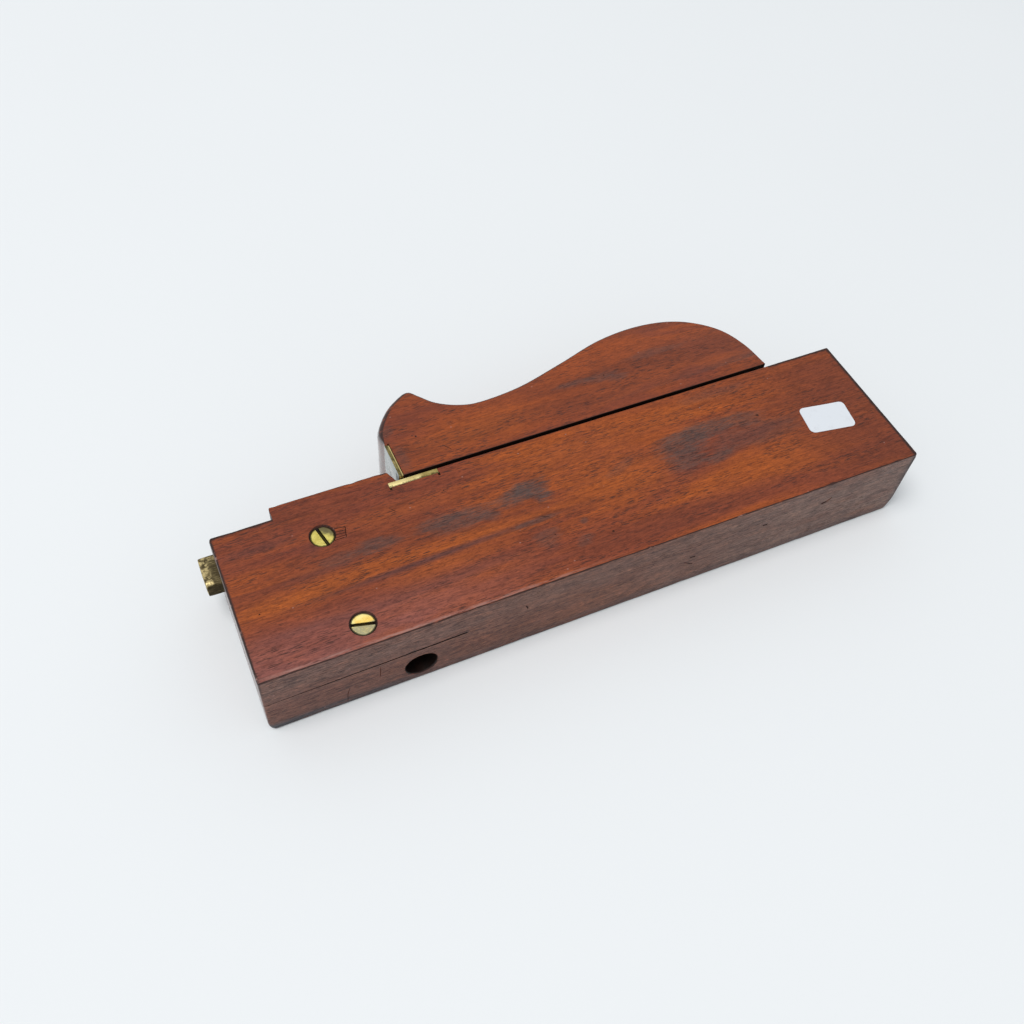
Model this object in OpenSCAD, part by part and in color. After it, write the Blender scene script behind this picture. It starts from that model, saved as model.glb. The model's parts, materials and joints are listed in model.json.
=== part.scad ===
// Slitting gauge: a hand tool that takes a narrow strip off the edge of thin sheet.
// The sheet passes over the raised head, turns in at the throat and runs back along the
// slot between the stock and the handle, past a knife that stands across the slot.
//
// The modules use a joiner's measures: x from the left end of the stock, y from the near
// face at that end, z up from the bottom face. in_frame() then moves everything, so that
// the origin is the middle of the stock's bottom face, +X runs along the slot towards the
// heel of the handle and +Y points from the stock to the handle.

/* [Stock] */
// Length of the stock
stock_l = 241.3; // [230:0.1:260]
// Width of the stock at its left end
stock_w = 55.7; // [54:0.1:60]
// How much wider the right end is, because the near face is not quite parallel
stock_taper = 1.65; // [0:0.05:3]
// Thickness of the stock and of the handle
stock_t = 31.5; // [30:0.1:36]

/* [Head] */
// Where the raised head starts
head_x = 21; // [14:0.5:26]
// How far the head stands above the far face
head_rise = 4.9; // [4:0.1:6]
// Where the head ends, at the foot of the throat
throat_x = 63.9; // [63:0.1:64.5]
// Lean of the throat's left wall away from square, in degrees
throat_lean = 21; // [0:1:25]

/* [Clamping kerf] */
// Length of the saw kerf from the left end
kerf_l = 66.4; // [60:0.1:72]
// Height of the kerf above the bottom at the left end
kerf_z = 17; // [16.8:0.1:17.2]
// How much higher the kerf runs at its root
kerf_climb = 1.4; // [0:0.1:2]
// Opening of the kerf where the screws pull it shut
kerf_gap_end = 0.35; // [0.3:0.05:0.8]
// Opening of the kerf at its root
kerf_gap_root = 0.85; // [0.8:0.05:1.2]

/* [Slide bar] */
// Width of the brass bar
bar_w = 11.55; // [10.5:0.05:12]
// Thickness of the brass bar
bar_t = 6.1; // [5:0.1:6.3]
// How far the bar stands out of the left end
bar_out = 5.3; // [5:0.1:8]
// How far the bar can be tapped in
slide_in = 4.5; // [3:0.1:4.5]
// How far the bar can be drawn out
slide_out = 3; // [1:0.1:3]
// Gap round the bar in its groove
bar_play = 0.05; // [0.03:0.01:0.1]

/* [Slot and throat] */
// Width of the slot that the sheet runs in
slot_w = 1.35; // [1:0.05:1.8]
// Height of the fence strip that closes the slot below
fence_h = 12.7; // [10:0.1:14]
// Thickness of the mouth plate
mouth_plate_t = 2; // [1.5:0.1:2.4]
// Length of the mouth plate
mouth_plate_l = 17.7; // [15:0.1:18]
// Depth of the mouth plate below the top face
mouth_plate_d = 7; // [5:0.1:7.5]
// Thickness of the nose plate
nose_plate_t = 1.5; // [1.2:0.1:1.8]
// Width of the nose plate
nose_plate_w = 14.7; // [13.5:0.1:14.7]

/* [Knife] */
// Width of the knife along the slot
knife_w = 5.6; // [5.2:0.1:6]
// Thickness of the knife
knife_t = 1.4; // [1:0.1:1.6]
// How far its point goes into the handle
knife_reach = 2.2; // [1.5:0.1:2.5]

/* [Screws] */
// Radius of the clamp screws' heads
clamp_head_r = 3.9; // [3.7:0.1:4.2]
// Radius of the clamp screws' shanks
clamp_shank_r = 2.1; // [1.9:0.05:2.2]
// Length of the clamp screws
clamp_screw_l = 26; // [22:0.5:27]
// How deep the clamp screws' heads are sunk
clamp_sink = 0.5; // [0.3:0.1:0.8]
// Length of the screws that hold the handle
handle_screw_l = 38; // [32:1:44]

/* [Guide rod bore] */
// Radius of the bore in the near face
rod_r = 5.55; // [4:0.05:6]
// Depth of the bore
rod_depth = 30; // [20:1:36]
// Distance of the bore from the left end
rod_x = 50.6; // [48:0.1:54]
// Height of the bore above the bottom face
rod_z = 8.4; // [8:0.1:9]

/* [Label] */
// Length of the paper label
label_l = 18.2; // [15:0.1:22]
// Width of the paper label
label_w = 12; // [8:0.1:16]

/* [Hidden] */
$fn = 64;

// A cutting tool runs this far past a face, so that no skin is left
past = 1;
// Gap left round a fixed pin or screw in its own hole
hole_ease = 0.02;
// Gap left round a turning screw in its hole
turn_ease = 0.05;
// Holes run this much deeper than the pin or screw in them
hole_spare = 0.3;
// Straight rim of every countersunk head
head_rim = 0.3;

// Stock: the far face is the reference, at y = stock_w. The near face and both ends are
// square to each other and turned a little from it.
skew = atan(stock_taper / stock_l);
end_shift = stock_w * tan(skew);
throat_top_x = throat_x - head_rise * tan(throat_lean);

// Slide bar and its groove. The bar's far side lies just under the far face.
bar_under = 0.2;
bar_far_y = stock_w - bar_under;
bar_near_y = bar_far_y - bar_w;
bar_z = kerf_z + bar_play;
bar_top_z = bar_z + bar_t;
bar_inner_x = 74.6;
groove_spare = 0.4;
groove_end_x = bar_inner_x + slide_in + groove_spare;

// Clamp screws
clamp_far = [33.8, 43.4];
clamp_near = [34.9, 7.8];
clamp_far_slot_angle = -77.8;
clamp_near_slot_angle = -14.4;
clamp_pitch = 1.8;
sink_ring = 0.4;
sink_mouth_r = clamp_head_r + sink_ring;
clamp_top_z = stock_t - clamp_sink;
// The long notch in the bar's near edge clears the far screw over the whole travel
notch_gap = 0.2;
notch_y = clamp_far[1] + clamp_shank_r + notch_gap;
notch_x0 = clamp_far[0] - clamp_shank_r - notch_gap - slide_in;
notch_x1 = clamp_far[0] + clamp_shank_r + notch_gap + slide_out;

// Slot, fence strip and handle
slot_y = stock_w + slot_w;
front_x = 65.4;
heel_x = 213.2;
fence_setback = 2;
fence_x0 = front_x + nose_plate_t + fence_setback;
fence_x1 = heel_x - 0.5;

// Plates at the mouth
mouth_plate_x = 60.7;
mouth_pin_x = [67.4, 75];
mouth_pin_r = 0.8;
mouth_pin_l = 8;
mouth_pin_z = stock_t - mouth_plate_d / 2;
nose_plate_bevel = 0.7;
nose_screw_y = slot_y + 8;
nose_screw_z = [8, 17];
nose_head_r = 2.4;
nose_head_gap = 0.1;
nose_shank_r = 1.25;
nose_screw_l = 11;
nose_plain_l = 3;
nose_pitch = 1.1;
nose_slot_angle = 35;

// Knife, let into the top of the bar near its inner end
knife_x = 67.6;
knife_z = bar_top_z - knife_t;
knife_heel_y = 45.6;
knife_point_y = slot_y + knife_reach;
knife_screw_y = 49.5;
knife_head_r = 2.1;
knife_head_gap = 0.05;
knife_shank_r = 1.2;
knife_screw_l = 4.6;
knife_plain_l = 1.8;
knife_pitch = 0.5;
knife_slot_angle = 20;
knife_way_gap = 0.5;
knife_way_h = knife_t + 2 * knife_way_gap;
// Its leading edge starts just inside the far face, and is bevelled from below
knife_edge_y = stock_w - 0.6;
knife_bevel = 32;

// Handle fixings
handle_screw_x = [98, 172];
handle_screw_z = 6.5;
handle_head_y = [70, 80];
handle_head_r = 4.2;
handle_shank_r = 2.4;
handle_plain_l = 16;
handle_pitch = 2.2;
handle_slot_angle = [50, 110];
plug_r = 4.5;
plug_gap = 0.1;
// The pellets' holes are cut from outside the grip
plug_from_y = 110;

// Label
label_at = [219.8, 25.4];
label_angle = -8.9;
label_t = 0.12;
label_corner_r = 2;

// Outline of the grip along the top edge, from the front of the nose over the tip, the
// hollow and the crest to the heel. The third number is how far the side swells out
// below that edge, because the edges of the grip are rounded.
grip_points = [
  [65.5, 71.75, 0], [67.4, 77.8, 2.3], [73, 85.9, 2.2], [79.3, 90.9, 1.7], [82.2, 91.8, 1.1],
  [84.8, 89.1, 0.8], [89.4, 84, 0.8], [96.5, 80.1, 0.8], [105, 78.6, 0.8],
  [121.3, 80.2, 0.8], [140.2, 85.4, 0.8], [159.8, 91.2, 0.8], [178.1, 92.6, 0.8],
  [193.6, 89.3, 0.8], [205.5, 80.8, 0.7], [211.3, 69.7, 0.5], [213.2, 57.05, 0]
];
// A point inside the grip that sees its whole outline
grip_hub = [95, 60];
// Points per span of the smoothed outline
grip_steps = 5;
// Height over which the edges are rounded, and the levels of the rings that round them
edge_h = 3;
edge_levels = [0, 0.12, 0.4, 1];

// Moves the joiner's measures into the part's frame
module in_frame() {
  translate([-stock_l / 2, -stock_w / 2, 0]) children();
}

// Catmull-Rom blend of four values
function blend(a, b, c, d, t) =
  (2 * b + (c - a) * t + (2 * a - 5 * b + 4 * c - d) * t * t
    + (3 * b - a - 3 * c + d) * t * t * t) / 2;

function smooth(points, steps) = let (last = len(points) - 1) concat(
  [for (i = [0:last - 1], k = [0:steps - 1])
    blend(points[max(i - 1, 0)], points[i], points[i + 1], points[min(i + 2, last)], k / steps)],
  [points[last]]
);

// Outward direction of an outline that runs clockwise, at point i
function outward(line, i) =
  let (
    a = line[max(i - 1, 0)],
    b = line[min(i + 1, len(line) - 1)],
    d = [b[0] - a[0], b[1] - a[1]]
  ) [-d[1], d[0]] / norm(d);

// Share of the swell that is missing at a level of the rounded edge, 1 at the face
function edge_inset(level) = 1 - sqrt(1 - pow(1 - level, 2));

// One ring of the handle's side: the square front corner, then the swollen outline
function grip_ring(line, z, level) = concat(
  [[front_x, slot_y, z]],
  [for (i = [0:len(line) - 1])
    let (n = outward(line, i), s = max(line[i][2], 0) * (1 - edge_inset(level)))
      [line[i][0] + n[0] * s, line[i][1] + n[1] * s, z]]
);

// A closed body through rings that have the same number of points. Each end is a fan of
// triangles round a point that sees the whole outline.
module skin_rings(rings, hub) {
  count = len(rings[0]);
  top = len(rings) - 1;
  hubs = len(rings) * count;
  points = concat(
    [for (r = rings) each r],
    [[hub[0], hub[1], rings[0][0][2]], [hub[0], hub[1], rings[top][0][2]]]
  );
  sides = [for (k = [0:top - 1], i = [0:count - 1])
    let (j = (i + 1) % count, a = k * count, b = a + count)
      each [[a + i, a + j, b + j], [a + i, b + j, b + i]]];
  ends = [for (i = [0:count - 1])
    let (j = (i + 1) % count)
      each [[hubs, j, i], [hubs + 1, top * count + i, top * count + j]]];
  polyhedron(points, concat(sides, ends));
}

// The handle's full body, before anything is cut into it
module grip_body() {
  line = smooth(grip_points, grip_steps);
  last = len(edge_levels) - 1;
  skin_rings(concat(
    [for (k = [0:last]) grip_ring(line, edge_h * edge_levels[k], edge_levels[k])],
    [for (k = [last:-1:0]) grip_ring(line, stock_t - edge_h * edge_levels[k], edge_levels[k])]
  ), grip_hub);
}

// A slotted countersunk wood screw that points down, its head's face at the origin. The
// thread is drawn as ribs.
module wood_screw(head_r, shank_r, length, plain_l, pitch, slot_angle) {
  cone = head_r - shank_r;
  core_r = shank_r * 0.7;
  point_l = shank_r * 1.5;
  turns = floor((length - plain_l - point_l) / pitch);
  ribs = [for (i = [0:turns - 1]) each [
    [shank_r, -plain_l - i * pitch],
    [core_r, -plain_l - (i + 0.3) * pitch],
    [core_r, -plain_l - (i + 0.7) * pitch]
  ]];
  profile = concat(
    [[0, 0], [head_r, 0], [head_r, -head_rim], [shank_r, -head_rim - cone]],
    ribs,
    [[shank_r, -plain_l - turns * pitch], [core_r, -length + point_l], [0, -length]]
  );
  slot_wide = head_r * 0.3;
  slot_deep = head_r * 0.32;
  difference() {
    rotate_extrude() polygon(profile);
    rotate([0, 0, slot_angle])
      translate([-head_r - past, -slot_wide / 2, -slot_deep])
        cube([2 * (head_r + past), slot_wide, slot_deep + past]);
  }
}

// The room for a wood screw that points down: countersink, then one straight hole
module screw_room(mouth_r, hole_r, mouth_z, length) {
  rotate_extrude() polygon([
    [0, past], [mouth_r, past], [mouth_r, mouth_z], [hole_r, mouth_z - mouth_r + hole_r],
    [hole_r, -length], [0, -length]
  ]);
}

// Turns a downward screw so that it points along -Y, then along +X
module pointing_near() rotate([-90, 0, 0]) children();
module pointing_heel() rotate([0, -90, 0]) children();

// A pin lying along -Y, its head's face at the origin
module pin_near(r, l) {
  rotate([90, 0, 0]) cylinder(r = r, h = l);
}

module stock_outline() {
  polygon([
    [-end_shift, 0],
    [stock_l - end_shift, -stock_taper],
    [stock_l, stock_w],
    [throat_x, stock_w],
    [throat_top_x, stock_w + head_rise],
    [head_x, stock_w + head_rise],
    [head_x, stock_w],
    [0, stock_w]
  ]);
}

// The kerf, seen from the near side and sawn through the whole width
module kerf() {
  root_z = kerf_z + kerf_climb;
  translate([0, stock_w + head_rise + past, 0]) rotate([90, 0, 0])
    linear_extrude(stock_w + head_rise + stock_taper + 3 * past)
      polygon([
        [-past, kerf_z - kerf_gap_end / 2],
        [kerf_l, root_z - kerf_gap_root / 2],
        [kerf_l, root_z + kerf_gap_root / 2],
        [-past, kerf_z + kerf_gap_end / 2]
      ]);
}

// The groove for the slide bar, open to the far face except under the head
module bar_groove() {
  near = bar_near_y - bar_play;
  height = bar_t + 2 * bar_play;
  translate([-past, near, kerf_z]) cube([groove_end_x + past, bar_far_y + bar_play - near, height]);
  translate([-past, near, kerf_z]) cube([head_x + past, stock_w + past - near, height]);
  translate([throat_x, near, kerf_z])
    cube([groove_end_x - throat_x, stock_w + past - near, height]);
}

module clamp_screw_rooms() {
  hole_r = clamp_shank_r + turn_ease;
  for (at = [clamp_far, clamp_near])
    translate([at[0], at[1], stock_t])
      screw_room(sink_mouth_r, hole_r, -clamp_sink, clamp_sink + clamp_screw_l + hole_spare);
}

module handle_screw_holes() {
  for (i = [0:1])
    translate([handle_screw_x[i], handle_head_y[i], handle_screw_z])
      pin_near(handle_shank_r + hole_ease, handle_screw_l + hole_spare);
}

module stock() {
  color("#9c4a2a") in_frame() difference() {
    linear_extrude(stock_t) stock_outline();
    kerf();
    bar_groove();
    clamp_screw_rooms();
    handle_screw_holes();
    // Recess of the mouth plate
    translate([mouth_plate_x, stock_w - mouth_plate_t, stock_t - mouth_plate_d])
      cube([mouth_plate_l, mouth_plate_t, mouth_plate_d + past]);
    for (x = mouth_pin_x)
      translate([x, stock_w, mouth_pin_z])
        pin_near(mouth_pin_r + hole_ease, mouth_pin_l + hole_spare);
    // Bore for the guide rod, square to the slot
    translate([rod_x, rod_depth - rod_x * tan(skew), rod_z]) pin_near(rod_r, rod_depth + past);
  }
}

// The way that is left for the knife's point, from the front of the nose
module knife_way(length) {
  translate([front_x - past, slot_y - past, knife_z - knife_way_gap])
    cube([length + past, knife_reach + knife_way_gap + past, knife_way_h]);
}

module handle() {
  color("#85402c") in_frame() difference() {
    grip_body();
    // Seat of the nose plate
    nose_plate_body(past);
    for (z = nose_screw_z)
      translate([front_x, nose_screw_y, z]) pointing_heel()
        cylinder(r = nose_shank_r + hole_ease, h = 2 * (nose_screw_l + hole_spare), center = true);
    knife_way(knife_x + knife_w + slide_in + knife_way_gap - front_x);
    handle_screw_holes();
    for (i = [0:1])
      translate([handle_screw_x[i], handle_head_y[i], handle_screw_z])
        pointing_near() screw_room(plug_r, handle_shank_r + hole_ease, -head_rim, plug_r);
    for (i = [0:1])
      translate([handle_screw_x[i], plug_from_y, handle_screw_z])
        pin_near(plug_r, plug_from_y - handle_head_y[i]);
  }
}

// The thin strip between stock and handle, with holes for the long screws
module fence_strip() {
  color("#a8863c") in_frame() difference() {
    translate([fence_x0, stock_w, 0]) cube([fence_x1 - fence_x0, slot_w, fence_h]);
    handle_screw_holes();
  }
}

module mouth_plate() {
  color("#c9a94f") in_frame() difference() {
    translate([mouth_plate_x, stock_w - mouth_plate_t, stock_t - mouth_plate_d])
      cube([mouth_plate_l, mouth_plate_t, mouth_plate_d]);
    for (x = mouth_pin_x)
      translate([x, stock_w + past, mouth_pin_z]) pin_near(mouth_pin_r + hole_ease, mouth_pin_l);
  }
}

module mouth_plate_pins() {
  color("#b8963f") in_frame()
    for (x = mouth_pin_x)
      translate([x, stock_w, mouth_pin_z]) pin_near(mouth_pin_r, mouth_pin_l);
}

// The nose plate's body. Extra thickness towards the throat is only for cutting its seat.
module nose_plate_body(extra) {
  far_y = slot_y + nose_plate_w;
  translate([0, 0, -extra]) linear_extrude(stock_t + 2 * extra)
    polygon([
      [front_x - extra, slot_y - extra],
      [front_x + nose_plate_t, slot_y - extra],
      [front_x + nose_plate_t, far_y - nose_plate_bevel],
      [front_x, far_y],
      [front_x - extra, far_y]
    ]);
}

module nose_plate() {
  color("#c2a24a") in_frame() difference() {
    intersection() {
      nose_plate_body(0);
      translate([0, slot_y, 0]) cube([heel_x, nose_plate_w, stock_t]);
    }
    for (z = nose_screw_z)
      translate([front_x, nose_screw_y, z])
        pointing_heel()
          screw_room(nose_head_r + nose_head_gap, nose_shank_r + hole_ease, -head_rim, nose_plain_l);
    knife_way(nose_plate_t + past);
  }
}

module nose_plate_screws() {
  color("#b8963f") in_frame()
    for (z = nose_screw_z)
      translate([front_x, nose_screw_y, z])
        pointing_heel() wood_screw(
          nose_head_r, nose_shank_r, nose_screw_l, nose_plain_l, nose_pitch, nose_slot_angle
        );
}

module slide_bar() {
  length = bar_inner_x + bar_out;
  color("#8a7a3a") in_frame() difference() {
    translate([-bar_out, bar_near_y, bar_z]) cube([length, bar_w, bar_t]);
    // Notch that clears the far clamp screw and stops the bar at either end
    translate([notch_x0, bar_near_y - past, bar_z - past])
      cube([notch_x1 - notch_x0, notch_y - bar_near_y + past, bar_t + 2 * past]);
    // Seat of the knife
    translate([knife_x, knife_heel_y, knife_z]) cube([knife_w, bar_w, knife_t + past]);
    translate([knife_x + knife_w / 2, knife_screw_y, bar_top_z])
      mirror([0, 0, 1]) cylinder(r = knife_shank_r + hole_ease, h = knife_screw_l + hole_spare);
  }
}

// The knife lies flat. Its leading edge slants back to the point and is bevelled below.
module knife() {
  edge_dx = knife_w * 0.8;
  edge_dy = knife_point_y - knife_edge_y;
  cutter = 2 * knife_w;
  color("#9aa0a4") in_frame() difference() {
    translate([knife_x, 0, knife_z]) linear_extrude(knife_t) polygon([
      [0, knife_heel_y], [knife_w, knife_heel_y], [knife_w, knife_point_y],
      [edge_dx, knife_point_y], [0, knife_edge_y]
    ]);
    translate([knife_x, knife_edge_y, knife_z]) rotate([0, 0, atan2(edge_dy, edge_dx)])
      rotate([knife_bevel, 0, 0]) translate([-cutter / 2, 0, -cutter]) cube(cutter);
    translate([knife_x + knife_w / 2, knife_screw_y, bar_top_z]) screw_room(
      knife_head_r + knife_head_gap, knife_shank_r + hole_ease, -head_rim, 2 * knife_t
    );
  }
}

module knife_screw() {
  color("#70757a") in_frame()
    translate([knife_x + knife_w / 2, knife_screw_y, bar_top_z])
      wood_screw(
        knife_head_r, knife_shank_r, knife_screw_l, knife_plain_l, knife_pitch, knife_slot_angle
      );
}

module clamp_screw(at, slot_angle) {
  plain_l = stock_t - kerf_z - clamp_sink;
  color("#c8a845") in_frame()
    translate([at[0], at[1], clamp_top_z])
      wood_screw(clamp_head_r, clamp_shank_r, clamp_screw_l, plain_l, clamp_pitch, slot_angle);
}

module clamp_screw_far() {
  clamp_screw(clamp_far, clamp_far_slot_angle);
}

module clamp_screw_near() {
  clamp_screw(clamp_near, clamp_near_slot_angle);
}

module handle_screws() {
  color("#6a6a68") in_frame()
    for (i = [0:1])
      translate([handle_screw_x[i], handle_head_y[i], handle_screw_z])
        pointing_near() wood_screw(
          handle_head_r, handle_shank_r, handle_screw_l, handle_plain_l, handle_pitch,
          handle_slot_angle[i]
        );
}

// Pellets that follow the handle's surface
module handle_plugs() {
  color("#7a3a28") in_frame() intersection() {
    grip_body();
    for (i = [0:1])
      translate([handle_screw_x[i], plug_from_y, handle_screw_z])
        pin_near(plug_r - hole_ease, plug_from_y - handle_head_y[i] - plug_gap);
  }
}

module price_label() {
  r = label_corner_r;
  color("white") in_frame() translate([label_at[0], label_at[1], stock_t]) rotate([0, 0, label_angle])
    linear_extrude(label_t) {
      square([label_l - 2 * r, label_w], center = true);
      square([label_l, label_w - 2 * r], center = true);
      for (sx = [-1, 1], sy = [-1, 1])
        translate([sx * (label_l / 2 - r), sy * (label_w / 2 - r)]) circle(r);
    }
}

stock();
handle();
fence_strip();
mouth_plate();
mouth_plate_pins();
nose_plate();
nose_plate_screws();
slide_bar();
knife();
knife_screw();
clamp_screw_far();
clamp_screw_near();
handle_screws();
handle_plugs();
price_label();
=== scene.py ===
# %% [markdown]
# # Dressing an old slitting gauge
# The object is a joiner's hand tool: a long mahogany stock, an S-curved mahogany handle behind
# it, a slot between the two, and a handful of brass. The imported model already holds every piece
# at its real size. These cells put worn, grained and tarnished surfaces round that frame. A
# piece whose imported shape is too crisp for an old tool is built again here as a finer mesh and
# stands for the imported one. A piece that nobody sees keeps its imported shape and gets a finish.

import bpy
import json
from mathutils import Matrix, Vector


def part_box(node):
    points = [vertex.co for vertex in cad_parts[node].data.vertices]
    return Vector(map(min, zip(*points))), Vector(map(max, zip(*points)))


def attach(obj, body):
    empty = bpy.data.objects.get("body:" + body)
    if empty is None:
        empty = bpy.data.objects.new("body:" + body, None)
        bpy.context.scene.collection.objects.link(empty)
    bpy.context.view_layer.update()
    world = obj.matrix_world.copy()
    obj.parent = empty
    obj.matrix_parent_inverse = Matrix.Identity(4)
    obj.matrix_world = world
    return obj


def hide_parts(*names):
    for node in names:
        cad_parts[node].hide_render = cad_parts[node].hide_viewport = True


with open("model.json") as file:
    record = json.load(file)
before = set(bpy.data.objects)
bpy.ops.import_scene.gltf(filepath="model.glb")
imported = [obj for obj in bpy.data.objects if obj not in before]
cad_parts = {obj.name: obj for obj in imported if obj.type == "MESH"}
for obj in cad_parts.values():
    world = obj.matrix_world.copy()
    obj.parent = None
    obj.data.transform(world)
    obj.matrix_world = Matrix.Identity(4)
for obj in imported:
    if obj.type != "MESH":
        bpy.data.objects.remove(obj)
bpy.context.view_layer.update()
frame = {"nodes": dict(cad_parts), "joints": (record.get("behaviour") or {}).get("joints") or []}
print("nodes:", sorted(frame["nodes"]))

# %% [markdown]
# ## A joiner's measures
# A joiner measures from the left end of the stock, from its near face and from the bench. The
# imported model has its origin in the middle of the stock's bottom face instead. One function
# turns the first into the second, so every number below is a real millimetre on the tool.

# %% Measures taken from the frame
import json
import math

import bmesh
import bpy
from mathutils import Matrix, Vector, noise

MM = 0.001
stock_low, stock_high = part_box("stock")
slot_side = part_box("fence_strip")[0].y
LENGTH = 2 * stock_high.x / MM
WIDTH = 2 * slot_side / MM
THICK = stock_high.z / MM
TAPER = -(stock_low.y / MM + WIDTH / 2)
SKEW = TAPER / LENGTH


def joiner(x, y, z=0.0):
    """A point in joiner's millimetres as a point in the frame, in metres."""
    return Vector((x * MM - LENGTH * MM / 2, y * MM - WIDTH * MM / 2, z * MM))


def measured_box(node):
    """A node's lowest and highest corners in joiner's millimetres."""
    shift = Vector((LENGTH / 2, WIDTH / 2, 0))
    return tuple(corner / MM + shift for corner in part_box(node))


print(f"stock {LENGTH:.1f} x {WIDTH + TAPER:.1f} x {THICK:.1f} mm")

# %% [markdown]
# ## The camera
# The photograph was taken from above the near left corner, with the tool lying on a table. The
# stock's straight edges meet in vanishing points, and those give the camera's place and its
# three directions. Its focal length is given as a share of the picture's width.

# %% Camera
FOCAL_SHARE = 1036.95 / 1024
SENSOR = 36.0
camera_at = joiner(-6.64, -149.97, 307.49)
camera_right = Vector((0.90762, -0.41497, 0.06346))
camera_down = Vector((-0.29962, -0.74624, -0.59443))
camera_forward = Vector((0.29402, 0.52051, -0.80164))

camera_data = bpy.data.cameras.new("camera")
camera_data.sensor_width = SENSOR
camera_data.lens = SENSOR * FOCAL_SHARE
camera_data.clip_start = 0.01
camera = bpy.data.objects.new("camera", camera_data)
turn = Matrix((camera_right, -camera_down, -camera_forward)).transposed()
camera.matrix_world = Matrix.Translation(camera_at) @ turn.to_4x4()
bpy.context.scene.collection.objects.link(camera)
bpy.context.scene.camera = camera
print("camera lens:", round(camera_data.lens, 2), "mm")

# %% [markdown]
# ## Short words for shader nodes
# Wood and brass both come from mixing noise at several sizes. Written out in full, that is
# hundreds of lines of node plumbing. These two small classes give each common step one word: a
# stretched noise, a soft threshold, a mix of two colours. All patterns use the object's own
# coordinates in metres, so they are solid patterns: a streak that crosses an edge goes on over
# the next face, as grain does.

# %% Nodes, and a material in the making
class Nodes:
    """The nodes of a material or of the sky while it is put together."""

    def __init__(self, owner):
        owner.use_nodes = True
        self.nodes = owner.node_tree.nodes
        self.links = owner.node_tree.links

    def put(self, value, socket):
        """Links a socket, or sets a plain value."""
        if isinstance(value, bpy.types.NodeSocket):
            self.links.new(value, socket)
        else:
            socket.default_value = value

    def node(self, kind, inputs=(), **settings):
        """A new node with its settings, and with inputs given by name or by number."""
        made = self.nodes.new(kind)
        for name, setting in settings.items():
            setattr(made, name, setting)
        for key, value in dict(inputs).items():
            self.put(value, made.inputs[key])
        return made

    def maths(self, operation, *values):
        filled = (*values, 0.0, 0.0)[:3]
        return self.node("ShaderNodeMath", enumerate(filled), operation=operation).outputs[0]

    def fold(self, operation, *values):
        """One operation carried on through several values."""
        total = values[0]
        for value in values[1:]:
            total = self.maths(operation, total, value)
        return total

    def times(self, *values):
        return self.fold("MULTIPLY", *values)

    def plus(self, *values):
        return self.fold("ADD", *values)

    def minus(self, first, second):
        return self.maths("SUBTRACT", first, second)

    def most(self, *values):
        return self.fold("MAXIMUM", *values)

    def parts(self, vector):
        """The three components of a vector."""
        return tuple(self.node("ShaderNodeSeparateXYZ", {0: vector}).outputs)

    def soft_step(self, value, low, high):
        """0 below low, 1 above high, and a smooth rise between; low may be the larger."""
        flip = low > high
        return self.node("ShaderNodeMapRange", {
            "Value": value, "From Min": min(low, high), "From Max": max(low, high),
            "To Min": float(flip), "To Max": float(not flip),
        }, interpolation_type="SMOOTHSTEP").outputs[0]

    def scaled(self, value, factor, base):
        """A value times a factor, plus a base."""
        return self.maths("MULTIPLY_ADD", value, factor, base)

    def spread(self, value, low, high):
        """Stretches a value from 0..1 to low..high."""
        return self.scaled(value, high - low, low)


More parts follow.
